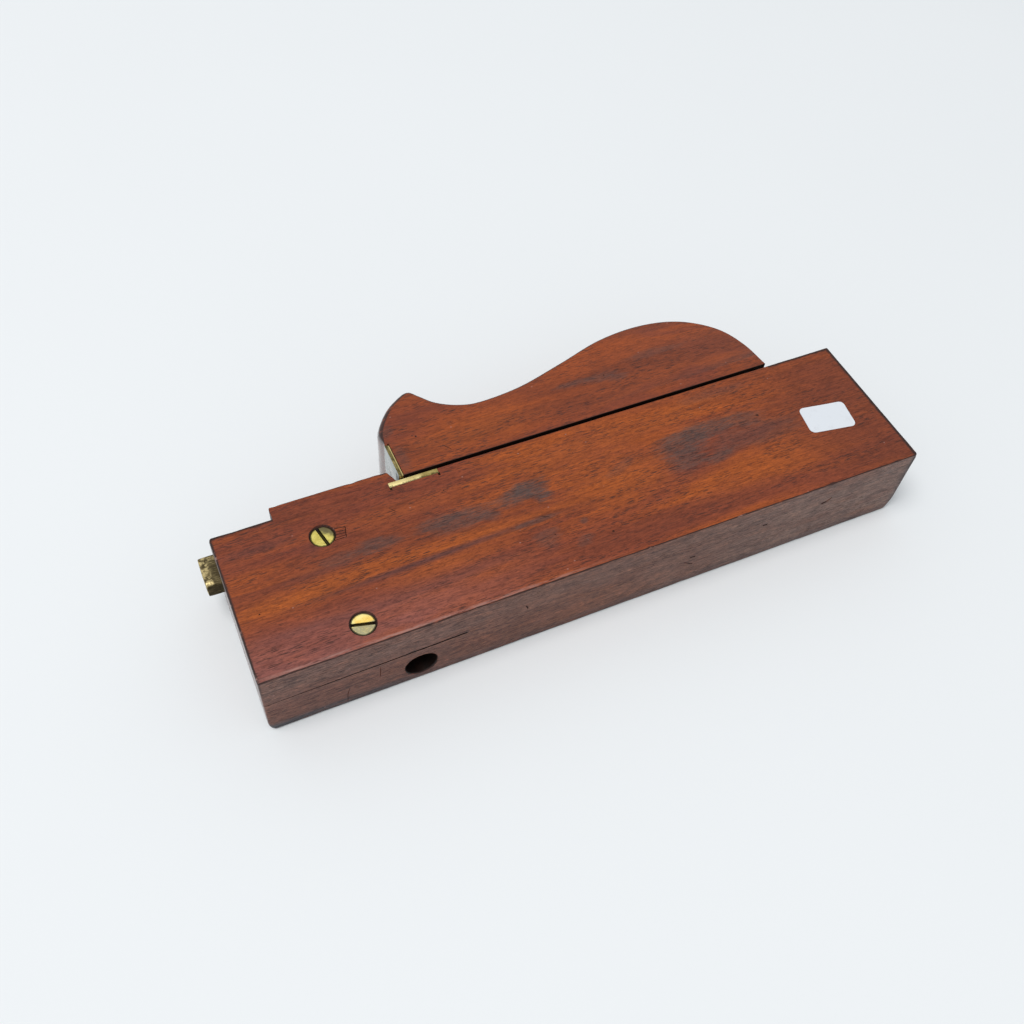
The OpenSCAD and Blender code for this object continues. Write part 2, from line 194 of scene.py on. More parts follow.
class Finish(Nodes):
    """One material while it is put together."""

    def __init__(self, name):
        self.material = bpy.data.materials.new(name)
        super().__init__(self.material)
        self.shader = self.nodes["Principled BSDF"]
        self.place = self.node("ShaderNodeTexCoord").outputs["Object"]
        self.x, self.y, self.z = self.parts(self.place)
        normal = self.node("ShaderNodeNewGeometry").outputs["Normal"]
        self.face_x, self.face_y, self.face_z = self.parts(normal)

    def beyond(self, value, place, start, end):
        """A soft step between two distances in mm from a place given in metres."""
        return self.soft_step(value, place + start * MM, place + end * MM)

    def along(self, start, end):
        """A soft step between two places along the tool, in joiner's mm."""
        return self.soft_step(self.x, joiner(start, 0).x, joiner(end, 0).x)

    def across(self, start, end):
        """A soft step between two places across the tool, in joiner's mm."""
        return self.soft_step(self.y, joiner(0, start).y, joiner(0, end).y)

    def up(self, start, end):
        """A soft step between two heights in mm."""
        return self.soft_step(self.z, start * MM, end * MM)

    def after(self, place):
        """1 towards the heel from a place along the tool, 0 before it."""
        return self.maths("GREATER_THAN", self.x, joiner(place, 0).x)

    def before(self, place):
        """1 on the clamped side of a place along the tool, 0 after it."""
        return self.maths("LESS_THAN", self.x, joiner(place, 0).x)

    def from_axis(self, *pairs):
        """Distance from an axis, given as pairs of a coordinate and the axis's own."""
        squares = [self.maths("POWER", self.minus(value, axis), 2.0) for value, axis in pairs]
        return self.maths("SQRT", self.plus(*squares))

    def stretched(self, scale, shift):
        """The object's coordinates times a scale for each axis, so 1000 means once a mm."""
        inputs = {"Scale": scale, "Location": shift, "Vector": self.place}
        return self.node("ShaderNodeMapping", inputs).outputs[0]

    def cloud(self, scale, detail=3.0, rough=0.55, twist=0.0, shift=(0, 0, 0)):
        """Noise from 0 to 1 whose lumps are 1/scale metres long on each axis."""
        return self.node("ShaderNodeTexNoise", {
            "Vector": self.stretched(scale, shift), "Scale": 1.0,
            "Detail": detail, "Roughness": rough, "Distortion": twist,
        }).outputs["Fac"]

    def patches(self, scale, detail, rough, low, high):
        """Soft-edged patches, 1 where the noise is above high and 0 where it is below low."""
        return self.soft_step(self.cloud(scale, detail, rough), low, high)

    def ragged(self, scale, detail, size, rough=0.55):
        """Noise that frays an outline by up to half a size in mm to either side."""
        noisy = self.cloud(scale, detail=detail, rough=rough)
        return self.scaled(noisy, size * MM, -size / 2 * MM)

    def specks(self, scale, shift):
        """Distance to the nearest of many scattered points, in cells."""
        inputs = {"Vector": self.stretched(scale, shift), "Scale": 1.0}
        return self.node("ShaderNodeTexVoronoi", inputs).outputs["Distance"]

    def mix(self, share, first, second, blend="MIX"):
        """A colour between two others, or one colour dimmed by another with MULTIPLY."""
        node = self.node("ShaderNodeMix", data_type="RGBA", blend_type=blend)
        given = {"Factor_Float": share, "A_Color": first, "B_Color": second}
        for socket in node.inputs:
            if socket.identifier in given:
                value = given[socket.identifier]
                self.put((*value, 1.0) if isinstance(value, tuple) else value, socket)
        return next(s for s in node.outputs if s.identifier == "Result_Color")

    def patch(self, torn, centre, length, width, angle=0.0, soft=0.5, ragged=1.0):
        """1 inside a ragged oval on the top face, 0 outside. The centre is in joiner's mm, and
        torn is the noise that frays the outline. One noise serves all the ovals of a finish."""
        where = joiner(*centre)
        oval = self.node("ShaderNodeMapping", {
            "Location": (where.x, where.y, 0), "Rotation": (0, 0, math.radians(angle)),
            "Scale": (length * MM, width * MM, 1), "Vector": self.place,
        }, vector_type="TEXTURE")
        ball = self.node(
            "ShaderNodeTexGradient", {"Vector": oval.outputs[0]}, gradient_type="SPHERICAL")
        frayed = self.scaled(torn, ragged, ball.outputs["Fac"])
        edge = 0.5 + ragged / 2
        return self.soft_step(frayed, edge - soft / 4, edge + soft / 2)

    def arris(self, low, high):
        """1 on rounded edges, 0 on upright and level faces."""
        level = self.maths("ABSOLUTE", self.face_z)
        rest = self.minus(1.0, self.times(self.face_z, self.face_z))
        upright = self.maths("SQRT", self.most(rest, 0.0))
        return self.soft_step(self.minus(1.0, self.most(level, upright)), low, high)

    def relief(self, height, depth_mm, strength, **more):
        """Bump whose height of 1 stands for that depth in millimetres. A bump that it lies
        on is given as Normal."""
        inputs = {"Distance": depth_mm * MM, "Strength": strength, "Height": height, **more}
        return self.node("ShaderNodeBump", inputs).outputs[0]

    def set(self, **sockets):
        """Sets the shader's sockets; an underscore stands for a space."""
        for name, value in sockets.items():
            self.put(value, self.shader.inputs[name.replace("_", " ")])
        return self.material


print("finish helper ready")

# %% [markdown]
# ## Mahogany
# Old polished mahogany has four layers that the eye reads at once. Broad bands drift from
# orange to red-brown along the board. Fine darker fibres run inside them. Open pores show as
# short dark dashes, a few millimetres long and a fifth of a millimetre wide. Over all that lie
# a century of hands: grey-brown stains, dark dirt on the edges and small pale bruises.
# Each layer is one stretched noise, long in X because the grain runs along the tool.

# %% The mahogany recipe
STAIN = (0.088, 0.056, 0.05)
SIDE_GRIME = (0.148, 0.062, 0.036)
# Painted grey sheen for the sides
SIDE_SHEEN_GREY = (0.226, 0.148, 0.12)
# Blue-grey dirt and painted shade for the foot and the heel corner
FOOT_DIRT_AND_SHADE = (0.042, 0.043, 0.052)
EDGE_DIRT = (0.024, 0.011, 0.009)
# Painted pale grey sheen for the polished faces
PALE_SHEEN_GREY = (0.25, 0.245, 0.26)
# Near-black painted shade, with some dirt, for cuts, bores and the slot
RECESS_SHADE_AND_DIRT = (0.008, 0.004, 0.003)
# Pale bruises, also used for a painted highlight along the near top edge
PALE_BRUISE_AND_HIGHLIGHT = (0.38, 0.2, 0.165)
ORANGE = (0.41, 0.096, 0.011)
DUSKY = (0.1, 0.036, 0.032)
RED = (0.175, 0.04, 0.017)
ROSE = (0.17, 0.038, 0.026)
# Painted rosy sheen for the near left of the top
ROSY_SHEEN = (0.245, 0.084, 0.07)
DIM, LIFT, BLOTCH = (0.45, 0.4, 0.42), (1.5, 1.45, 1.3), (0.5, 0.5, 0.56)


def mahogany(name, light, deep, pore, seed, zones=(), stains=(), side_dark=0.0, streak=1.0,
             inside=None, sheen_zone=None, bruises_and_highlight=None, side_sheen=None, foot=None, rims=None,
             coat=(0.05, 0.3), polish_and_sheen=None):
    """A solid mahogany. light and deep are the two ends of its banding. The functions give
    masks: for sawn inner faces painted near-black as shade, for a painted rosy sheen, for bruises
    and a painted highlight beside an edge, for sides with a painted grey sheen, for dirt and
    painted shade along the foot, for dark rims and for polished sides with a painted pale grey
    sheen."""
    wood = Finish(name)
    away = (seed * 3.1, seed * 1.7, seed * 2.3)
    step, times = wood.soft_step, wood.times
    on_top = step(wood.face_z, 0.6, 0.9)
    upright = step(wood.maths("ABSOLUTE", wood.face_z), 0.75, 0.4)

    def cloud(scale, detail=3, **more):
        return wood.cloud(scale, detail, shift=away, **more)

    sway = cloud((14, 30, 30), 1)
    bands = cloud((9, 120, 120), twist=0.6)
    blush = cloud((11, 40, 40), rough=0.6, twist=0.8)
    colour = wood.mix(step(bands, 0.36, 0.64), light, deep)
    rosy = tuple(0.4 * a + 0.6 * b for a, b in zip(deep, ROSE))
    colour = wood.mix(times(step(blush, 0.46, 0.64), 0.7), colour, rosy)
    torn = cloud((95, 620, 100), 6, rough=0.72)
    for centre, length, width, angle, strength, tint in zones:
        soft_oval = wood.patch(torn, centre, length, width, angle, soft=0.95, ragged=0.8)
        colour = wood.mix(times(soft_oval, on_top, strength), colour, tint)
    # Painted sheen: a dull rosy haze standing for a reflection on the top face.
    if sheen_zone:
        colour = wood.mix(sheen_zone(wood), colour, ROSY_SHEEN)

    mottle = wood.spread(step(cloud((420, 2600, 2600), rough=0.7), 0.32, 0.62), 0.45, 1.0)
    for centre, length, width, angle, strength in stains:
        mark = wood.patch(torn, centre, length, width, angle)
        colour = wood.mix(times(mark, on_top, mottle, strength), colour, STAIN)
    if side_dark:
        worn_thin = wood.spread(step(bands, 0.3, 0.7), 0.88, 1.0)
        colour = wood.mix(times(upright, worn_thin, side_dark), colour, SIDE_GRIME)
    # Painted grey sheen on the sides, standing for a reflection of the pale table.
    if side_sheen:
        colour = wood.mix(times(side_sheen(wood), upright), colour, SIDE_SHEEN_GREY)
    # Dirt and painted shade along the foot; painted shade on the heel end's corner.
    if foot:
        colour = wood.mix(times(foot(wood), upright), colour, FOOT_DIRT_AND_SHADE)

    fibres = cloud((130, 1900, 1900), 4, rough=0.62, twist=0.7)
    flecks = cloud((620, 2200, 2200), rough=0.75, twist=0.6)
    lines = cloud((45, 1100, 1100), 4, rough=0.6, twist=0.5)
    smudge = cloud((140, 420, 420), 4, rough=0.65, twist=0.5)
    side_more = wood.spread(upright, 1.0, 1.9)
    for pattern, low, high, share, tint in (
        (fibres, 0.48, 0.64, 0.5, DIM), (fibres, 0.46, 0.3, 0.3, LIFT),
        (flecks, 0.5, 0.66, 0.7, DIM), (flecks, 0.46, 0.28, 0.66, LIFT),
        (lines, 0.6, 0.7, 0.35, DIM), (smudge, 0.5, 0.68, 0.32, DIM),
        (smudge, 0.46, 0.3, 0.22, LIFT),
    ):
        part = times(step(pattern, low, high), side_more, share * streak)
        colour = wood.mix(part, colour, tint, "MULTIPLY")

    dash = wood.specks((230, 2500, 2500), away)
    pores = times(step(dash, 0.37, 0.22), step(cloud((22, 150, 150)), 0.38, 0.58))
    colour = wood.mix(times(pores, 0.86), colour, pore)
    blotch = step(cloud((60, 190, 190), 5, rough=0.7), 0.54, 0.74)
    colour = wood.mix(times(blotch, 0.34), colour, BLOTCH, "MULTIPLY")
    chips = step(wood.specks((120, 160, 160), away), 0.045, 0.03)
    colour = wood.mix(times(chips, 0.55), colour, PALE_BRUISE_AND_HIGHLIGHT)

    edge = wood.arris(0.004, 0.07)
    smear = step(cloud((180, 500, 500)), 0.24, 0.46)
    colour = wood.mix(times(edge, smear, 0.92), colour, EDGE_DIRT)
    if rims:
        colour = wood.mix(rims(wood), colour, EDGE_DIRT)
    # Bruises on the edges, and a painted pale highlight beside the near top edge.
    if bruises_and_highlight:
        colour = wood.mix(bruises_and_highlight(wood, edge), colour, PALE_BRUISE_AND_HIGHLIGHT)
    # Painted shade: near-black, with some dirt, in the kerf, the bore, the slot and other cuts.
    if inside:
        colour = wood.mix(times(inside(wood), 0.97), colour, RECESS_SHADE_AND_DIRT)

    gloss = cloud((60, 110, 110), 4, rough=0.6)
    rough = wood.scaled(pores, 0.18, wood.spread(gloss, 0.36, 0.6))
    shine = coat[0]
    # Polish makes these faces smoother and glossier; their paler grey colour is painted sheen.
    if polish_and_sheen:
        polish_sheen = times(polish_and_sheen(wood), upright)
        colour = wood.mix(times(polish_sheen, 0.3), colour, PALE_SHEEN_GREY)
        rough = times(rough, wood.spread(polish_sheen, 1.0, 0.2))
        shine = wood.spread(polish_sheen, coat[0], 0.9)
    height = wood.scaled(fibres, 0.35, times(pores, -1.0))
    height = wood.scaled(flecks, -0.5, height)
    fine = wood.relief(height, 0.045, 0.7)
    worn = wood.relief(wood.plus(blush, sway), 0.5, 0.35, Normal=fine)
    return wood.set(
        Base_Color=colour, Roughness=rough, Normal=worn,
        Specular_IOR_Level=0.26, Coat_Weight=shine, Coat_Roughness=coat[1],
    )


print("mahogany recipe ready")

# %% [markdown]
# ## Where the mahogany is dirty and worn, and where shade and sheen are painted
# Each function below answers one question about a point of the wood with a number from 0 to 1:
# is it inside a cut, where near-black painted shade goes, in the dirt along the foot, on an edge
# that gets knocked, under a painted sheen or highlight? The answers are distances from the tool's
# own lines, made ragged by noise, because dirt has no straight edge.

# %% Masks for the wood
HEAD_X = 21.0
HEAD_RISE = 4.9
THROAT_TOP_X = 62.02
HEAD_END_X = 63.9
HEEL_X = 213.2
KERF_END = 66.4
KERF_LEFT_Z = 17.0
KERF_ROOT_Z = 18.4
KERF_HALF, KERF_SPREAD = 0.14, 0.0042
BORE_X, BORE_Z, BORE_R, BORE_DEPTH = 50.6, 8.4, 5.55, 30
SLOT_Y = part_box("handle")[0].y / MM + WIDTH / 2


def past_near_face(wood):
    """Distance of a point behind the near face, in metres."""
    near_face = wood.scaled(wood.x, -SKEW, joiner(0, -TAPER / 2).y)
    return wood.minus(wood.y, near_face)


def stock_recess_shade(wood):
    """1 on every sawn or bored face inside the stock and on its side of the slot, which are
    painted near-black: painted shade in these cuts, with some dirt.
    """
    x, y, z = wood.x, wood.y, wood.z
    steep = HEAD_RISE / (HEAD_END_X - THROAT_TOP_X)
    past_head = wood.times(wood.minus(joiner(HEAD_END_X, 0).x, x), steep)
    head = wood.maths("MINIMUM", wood.most(past_head, 0.0), HEAD_RISE * MM)
    head = wood.times(head, wood.after(HEAD_X - 0.01))
    behind = past_near_face(wood)
    least = wood.fold(
        "MINIMUM", behind, wood.minus(wood.plus(head, slot_side), y), z,
        wood.minus(THICK * MM, z), wood.minus(x, joiner(0, 0).x),
        wood.minus(joiner(LENGTH, 0).x, x),
    )
    sawn = wood.soft_step(least, 0.35 * MM, 1.1 * MM)
    slot_wall = wood.times(
        wood.beyond(y, slot_side, -0.1, -0.02),
        wood.up(THICK - 0.1, THICK - 0.5), wood.after(HEAD_END_X + 2), wood.before(HEEL_X),
    )
    climb = (KERF_ROOT_Z - KERF_LEFT_Z) / KERF_END
    kerf_z = wood.scaled(x, climb, (KERF_LEFT_Z + climb * LENGTH / 2) * MM)
    off_kerf = wood.maths("ABSOLUTE", wood.minus(z, kerf_z))
    half = wood.scaled(x, KERF_SPREAD, (KERF_HALF + KERF_SPREAD * LENGTH / 2) * MM)
    kerf_lips = wood.times(wood.maths("LESS_THAN", off_kerf, half), wood.before(KERF_END + 0.15))
    from_bore = wood.from_axis((x, joiner(BORE_X, 0).x), (z, BORE_Z * MM))
    bore = wood.times(
        wood.maths("LESS_THAN", from_bore, (BORE_R + 0.12) * MM),
        wood.maths("LESS_THAN", y, joiner(0, BORE_DEPTH + 3).y),
        wood.maths("GREATER_THAN", behind, 0.12 * MM),
    )
    return wood.most(sawn, slot_wall, wood.most(kerf_lips, bore))


def stock_side_sheen(wood):
    """Painted grey sheen on the sides, standing for the varnish's reflection of the pale table; it
    thickens towards the heel and the top.
    """
    torn = wood.patches((60, 260, 260), 5, 0.68, 0.36, 0.62)
    upper = wood.times(wood.up(0.35 * THICK, 0.8 * THICK), 0.42)
    most = wood.most(wood.times(wood.along(70, 225), 0.75), upper)
    return wood.times(most, wood.spread(torn, 0.55, 1.0))


def stock_foot_dirt_and_shade(wood):
    """Blue-grey dirt and painted shade along the foot, thickest at the left end, and painted shade
    on the heel end's corner.
    """
    torn = wood.patches((70, 420, 420), 5, 0.7, 0.3, 0.52)
    foot = wood.times(wood.up(5.2, 2.0), torn, wood.spread(wood.along(60, 25), 0.4, 1.0))
    return wood.most(foot, wood.times(wood.along(LENGTH - 4.5, LENGTH - 1.0), 0.6))


def stock_rims(wood):
    """The dark lines that dirt draws on the top along both ends and along the far edge."""
    square = wood.scaled(wood.minus(slot_side, wood.y), SKEW, wood.x)
    ragged = wood.ragged((400, 260, 400), 4, 1.4)
    frayed = wood.plus(square, ragged)
    heel_end, left_end = (
        wood.soft_step(frayed, joiner(start, 0).x, joiner(end, 0).x)
        for start, end in ((LENGTH - 2.1, LENGTH - 1.1), (1.1, 0.5))
    )
    far = wood.beyond(wood.plus(wood.y, ragged), slot_side, -1.3, -0.6)
    far = wood.times(far, wood.most(wood.after(HEEL_X), wood.before(HEAD_X)), 0.9)
    ends = wood.most(wood.times(heel_end, 0.95), wood.times(left_end, 0.7))
    return wood.times(wood.most(ends, far), wood.up(20, 28))


def stock_bruises_and_highlight(wood, edge):
    """Bruises on the worn edges, and a painted highlight: a pale strip on the top beside the near
    edge.
    """
    off_middle = wood.maths("ABSOLUTE", wood.minus(wood.z, THICK / 2 * MM))
    outer = wood.soft_step(off_middle, (THICK / 2 - 3.2) * MM, (THICK / 2 - 2.2) * MM)
    knocks = wood.patches((110, 300, 300), 4, 0.7, 0.6, 0.68)
    behind = past_near_face(wood)
    # Painted highlight: a pale strip along the near top edge.
    strip = wood.times(
        wood.soft_step(behind, 0.25 * MM, 0.6 * MM), wood.soft_step(behind, 1.7 * MM, 0.8 * MM),
        wood.up(THICK - 0.3, THICK - 0.1), wood.along(130, 80),
    )
    broken = wood.patches((130, 1300, 1300), 5, 0.72, 0.4, 0.56)
    clear_of_bore = wood.maths("GREATER_THAN", wood.z, (BORE_Z + BORE_R + 2) * MM)
    bruises = wood.times(edge, outer, knocks, clear_of_bore, 0.6)
    return wood.most(bruises, wood.times(strip, broken, 0.75))


def handle_slot_shade(wood):
    """1 on the handle's side of the slot, painted near-black: painted shade with some dirt."""
    level = (SLOT_Y - WIDTH / 2) * MM
    return wood.beyond(wood.y, level, 0.35, 0.05)


def nose_side(wood):
    """1 on the front of the grip, from the nose plate up to the tip, which is glossy and painted
    with a pale grey sheen.
    """
    return wood.times(wood.along(88, 78), wood.soft_step(wood.face_x, -0.15, -0.45))


def stock_left_end(wood):
    """1 on the stock's left end, which the palm rubs smooth and which gets a painted pale
    grey sheen.
    """
    return wood.times(wood.soft_step(wood.face_x, -0.7, -0.9), wood.before(1.5), 0.5)


def near_left_sheen(wood):
    """The dull, rosy painted sheen at the near left of the top, where a reflection shows."""
    torn = wood.patches((40, 160, 160), 4, 0.6, 0.3, 0.6)
    return wood.times(wood.across(21, 4), wood.along(120, 30), wood.spread(torn, 0.5, 0.85))


print("wood masks ready")

# %% [markdown]
# ## The two mahoganies of this tool
# The stains and most of the zones are the tool's own history; the lighter orange of the zones
# towards the left end is partly painted sheen. They are written as plain lists: where each one
# lies on the top face, how long and wide it is, and how strong.

# %% Colour zones, stains and the three woods
# The left part of the top is made lighter, partly as painted sheen.
# Each zone: centre, length, width, angle, strength and colour
stock_zones = [
    ((36, 25), 84, 8, 2, 0.62, ORANGE),
    ((12, 23.5), 34, 6, 0, 0.5, ORANGE),
    ((84, 24.5), 60, 7, 0, 0.5, ORANGE),
    ((66, 18.5), 44, 7, 0, 0.5, ORANGE),
    ((60, 43), 50, 9, 0, 0.3, ORANGE),
    ((122, 46), 60, 20, 0, 0.5, ORANGE),
    ((136, 28), 46, 22, 0, 0.55, ORANGE),
    ((164, 47), 60, 10, 0, 0.4, ORANGE),
    ((160, 13), 40, 9, 0, 0.3, ORANGE),
    ((66, 22.2), 90, 2.6, 1.6, 0.85, DUSKY),
    ((24, 12.5), 50, 3.4, -2, 0.45, DUSKY),
    ((68, 13), 60, 5, 0, 0.4, DUSKY),
    ((30, 31), 34, 4, 2, 0.4, DUSKY),
    ((14, 46), 30, 4, 0, 0.45, DUSKY),
    ((31, 40.5), 12, 5, 30, 0.4, DUSKY),
    ((232, 34), 76, 60, 0, 0.85, RED),
    ((186, 15), 60, 18, 0, 0.45, ORANGE),
    ((236, 3), 70, 26, 0, 0.9, RED),
    ((130, 6), 130, 10, 0, 0.6, RED),
    ((30, 54), 60, 12, 0, 0.5, RED),
]
# Each stain: centre on the top face, length, width and angle, and how strong it is
stock_stains = [
    ((104, 36.2), 16, 7.4, 4, 1.0),
    ((106.5, 32.4), 10, 6.4, -28, 0.95),
    ((97.5, 34.5), 16, 6.5, 4, 0.8),
    ((78, 32.8), 29, 8, 3, 0.75),
    ((70, 35), 18, 5, 0, 0.65),
    ((86.5, 30.4), 9, 4, -10, 0.6),
    ((49, 33.8), 19, 5.4, 0, 0.75),
    ((35, 33), 12, 6, 0, 0.4),
    ((100, 22.8), 18, 2.2, 2, 0.6),
    ((101, 15.5), 10, 9, 20, 0.5),
    ((115.5, 17), 4, 3.2, 30, 0.6),
    ((112.5, 10), 7, 4, 20, 0.45),
    ((164, 34.5), 23, 12.5, 6, 0.85),
    ((161.5, 26.5), 17, 11, 10, 0.75),
    ((176, 36.5), 26, 8, 4, 0.8),
    ((190, 36), 18, 7, -6, 0.6),
    ((173, 24.2), 14, 5, 10, 0.7),
    ((190, 28.5), 44, 10, 0, 0.42),
    ((186, 51), 30, 5, 0, 0.3),
    ((138, 33), 14, 4, 20, 0.3),
]
handle_zones = [
    ((98, 67), 50, 14, 0, 0.35, ORANGE),
    ((150, 63), 50, 10, 0, 0.45, RED),
]
handle_stains = [
    ((140, 74.2), 17, 2.6, 1, 0.55),
    ((152, 73.5), 15, 4.4, 4, 0.5),
    ((157, 71.5), 10, 4, 0, 0.5),
    ((176, 78), 24, 4, 0, 0.4),
    ((68, 77), 7, 5, 60, 0.5),
    ((69, 64), 5, 13, 0, 0.4),
]
stock_wood = mahogany(
    "mahogany_stock", light=(0.33, 0.072, 0.013), deep=(0.215, 0.047, 0.016),
    pore=(0.035, 0.014, 0.011), seed=1, zones=stock_zones, stains=stock_stains, side_dark=0.7,
    inside=stock_recess_shade, sheen_zone=near_left_sheen, bruises_and_highlight=stock_bruises_and_highlight, side_sheen=stock_side_sheen,
    foot=stock_foot_dirt_and_shade, rims=stock_rims, polish_and_sheen=stock_left_end,
)
handle_wood = mahogany(
    "mahogany_handle", light=(0.3, 0.062, 0.013), deep=(0.205, 0.044, 0.014),
    pore=(0.032, 0.013, 0.011), seed=4, zones=handle_zones, stains=handle_stains,
    side_dark=0.45, streak=0.8, inside=handle_slot_shade, coat=(0.12, 0.12), polish_and_sheen=nose_side,
)
plug_wood = mahogany(
    "mahogany_plug", light=(0.2, 0.045, 0.018), deep=(0.13, 0.03, 0.015),
    pore=(0.03, 0.012, 0.01), seed=9,
)
print("mahogany finishes:", stock_wood.name, handle_wood.name, plug_wood.name)

# %% [markdown]
# ## Brass, steel and paper
# Brass that is handled stays yellow; brass that is left alone goes olive and then brown, in
# soft clouds with small dark spots. The recipe takes both colours and says how much of the
# tarnish is there. Some masks also paint light into the brass: painted highlights on edges and
# rims, painted shadow and shade, and a painted reflection. Fine scratches run along the piece,
# because that is how it was filed.

# %% The metal recipe and the paper
# Near-black for caked dirt and for painted shade
DARK_DIRT_AND_SHADE = (0.012, 0.009, 0.006)


def metal(name, clean, tarnish, amount, gloss=(0.22, 0.5), grain=(300, 2600, 2600), seed=0.0,
          highlit=None, dirt_and_shade=None, film_and_sheen=None, film_and_sheen_tint=None, film_rough=None):
    """A worked metal: clean colour, tarnish colour and the share of the tarnish. The three mask
    functions give painted highlights, caked dirt and painted shade, and a dull film with a painted
    grey-blue reflection."""
    alloy = Finish(name)
    step, times = alloy.soft_step, alloy.times
    away = (seed, seed * 1.3, seed * 0.7)
    clouds = alloy.cloud((210, 210, 210), detail=5, rough=0.6, twist=0.4, shift=away)
    spots = alloy.cloud((1500, 1500, 1500), detail=3, rough=0.6, shift=away)
    lines = alloy.cloud(grain, detail=4, rough=0.7, shift=away)
    middle = 0.62 - 0.34 * amount
    film = step(clouds, middle - 0.16, middle + 0.16)
    # Painted highlights: less tarnish, so brighter brass.
    if highlit:
        film = times(film, alloy.spread(highlit(alloy), 1.0, 0.2))
    colour = alloy.mix(film, clean, tarnish)
    speck = times(step(spots, 0.58, 0.7), 0.55)
    colour = alloy.mix(speck, colour, tuple(c * 0.4 for c in tarnish))
    streaks = times(step(lines, 0.5, 0.7), 0.35)
    colour = alloy.mix(streaks, colour, tuple(min(1, c * 1.15) for c in clean))
    rough = alloy.scaled(film, gloss[1] - gloss[0], gloss[0])
    rough = alloy.scaled(spots, 0.15, rough)
    # A dull film, and on the nose plate's face a painted grey-blue reflection.
    if film_and_sheen:
        dull = film_and_sheen(alloy)
        colour = alloy.mix(times(dull, 0.85), colour, film_and_sheen_tint)
        rough = alloy.plus(times(rough, alloy.spread(dull, 1.0, 0.1)), times(dull, film_rough))
    # Caked dirt and painted shade, in near-black.
    if dirt_and_shade:
        dirt_and_shade_mask = dirt_and_shade(alloy)
        colour = alloy.mix(dirt_and_shade_mask, colour, DARK_DIRT_AND_SHADE)
        rough = alloy.most(rough, times(dirt_and_shade_mask, 0.85))
    height = alloy.scaled(spots, 0.6, lines)
    return alloy.set(
        Base_Color=colour, Roughness=rough, Metallic=1.0,
        Normal=alloy.relief(height, 0.02, 0.5),
    )


def label_paper():
    """Matt white paper with a faint fibre and a few slightly soiled patches."""
    paper = Finish("label_paper")
    fibre = paper.cloud((2200, 2200, 2200), detail=3, rough=0.7)
    soil = paper.patches((260, 260, 260), 4, 0.65, 0.52, 0.72)
    colour = paper.mix(paper.times(soil, 0.35), (0.71, 0.745, 0.79), (0.58, 0.59, 0.62))
    return paper.set(
        Base_Color=colour, Roughness=0.62, Specular_IOR_Level=0.3,
        Normal=paper.relief(fibre, 0.015, 0.4),
    )


def bar_lit_rims(alloy):
    """Painted light on the bar: its outer end and its far edge are kept bright, and the
    tarnished middle between them stands for the stock's shadow.
    """
    low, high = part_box("slide_bar")
    tip = alloy.beyond(alloy.x, low.x, 3.2, 2.2)
    far = alloy.times(
        alloy.beyond(alloy.y, high.y, -2.4, -1.6),
        alloy.beyond(alloy.y, high.y, -0.3, -0.7), 0.6,
    )
    patchy = alloy.patches((700, 900, 900), 4, 0.65, 0.4, 0.58)
    near_side = alloy.soft_step(alloy.face_y, -0.95, -0.6)
    return alloy.times(alloy.most(tip, far), patchy, near_side)


def bar_near_shade(alloy):
    """Painted shade in near-black on the bar's near side, which faces away from the light."""
    return alloy.times(alloy.soft_step(alloy.face_y, -0.6, -0.95), 0.3)


def head_dirt(screw):
    """The function for dirt in the slot of a clamp screw's head and round its rim."""
    low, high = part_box(screw)
    radius = (high.x - low.x) / 2

    def dirt(alloy):
        deep = alloy.beyond(alloy.z, high.z, -0.12, -0.5)
        out = alloy.plus(
            alloy.from_axis((alloy.x, (low.x + high.x) / 2), (alloy.y, (low.y + high.y) / 2)),
            alloy.ragged((700, 700, 700), 4, 0.7),
        )
        rim = alloy.beyond(out, radius, -0.5, -0.2)
        return alloy.most(alloy.times(deep, 0.9), alloy.times(rim, 0.8))
    return dirt


def near_screw_film(alloy):
    """A dull, pitted film over the near half of the near screw's head."""
    middle = joiner(0, 7.9).y
    half = alloy.beyond(alloy.y, middle, 0.4, -0.4)
    pitted = alloy.patches((1700, 1700, 1700), 3, 0.7, 0.34, 0.5)
    return alloy.times(half, alloy.spread(pitted, 0.55, 1.0))


def far_screw_film(alloy):
    """Dark dirt over the far side of the far screw's head, towards the heel."""
    at = joiner(34.2, 44.4)
    aslant = alloy.plus(alloy.minus(alloy.x, at.x), alloy.minus(alloy.y, at.y))
    patchy = alloy.ragged((600, 600, 600), 5, 5, rough=0.7)
    return alloy.soft_step(alloy.plus(aslant, patchy), -0.7 * MM, 2.2 * MM)


def nose_face_sheen(alloy):
    """A painted grey-blue reflection of the pale table on the nose plate's front face, which is
    also made smoother.
    """
    return alloy.soft_step(alloy.face_x, -0.7, -0.9)


def nose_rear_highlight(alloy):
    """A painted highlight along the rear edge of the nose plate's top, the only bright part of it.
    """
    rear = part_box("nose_plate")[1].x
    return alloy.beyond(alloy.x, rear, -0.45, -0.3)


def nose_dirt_and_shadow(alloy):
    """Dark places on the nose plate: dirt on its top behind the front edge, and the head's painted
    shadow on the throat's corner.
    """
    low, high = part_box("nose_plate")
    top = alloy.beyond(alloy.z, high.z, -0.1, -0.02)
    fore = alloy.beyond(alloy.x, high.x, -0.32, -0.5)
    patchy = alloy.patches((500, 500, 500), 3, 0.55, 0.4, 0.6)
    # Painted shadow of the head, low on the plate beside the throat.
    corner = alloy.times(
        alloy.beyond(alloy.y, low.y, 3.7, 3.3),
        alloy.beyond(alloy.z, high.z, -1.2, -2.0), 0.5,
    )
    return alloy.most(alloy.times(top, fore, alloy.spread(patchy, 0.35, 0.7)), corner)


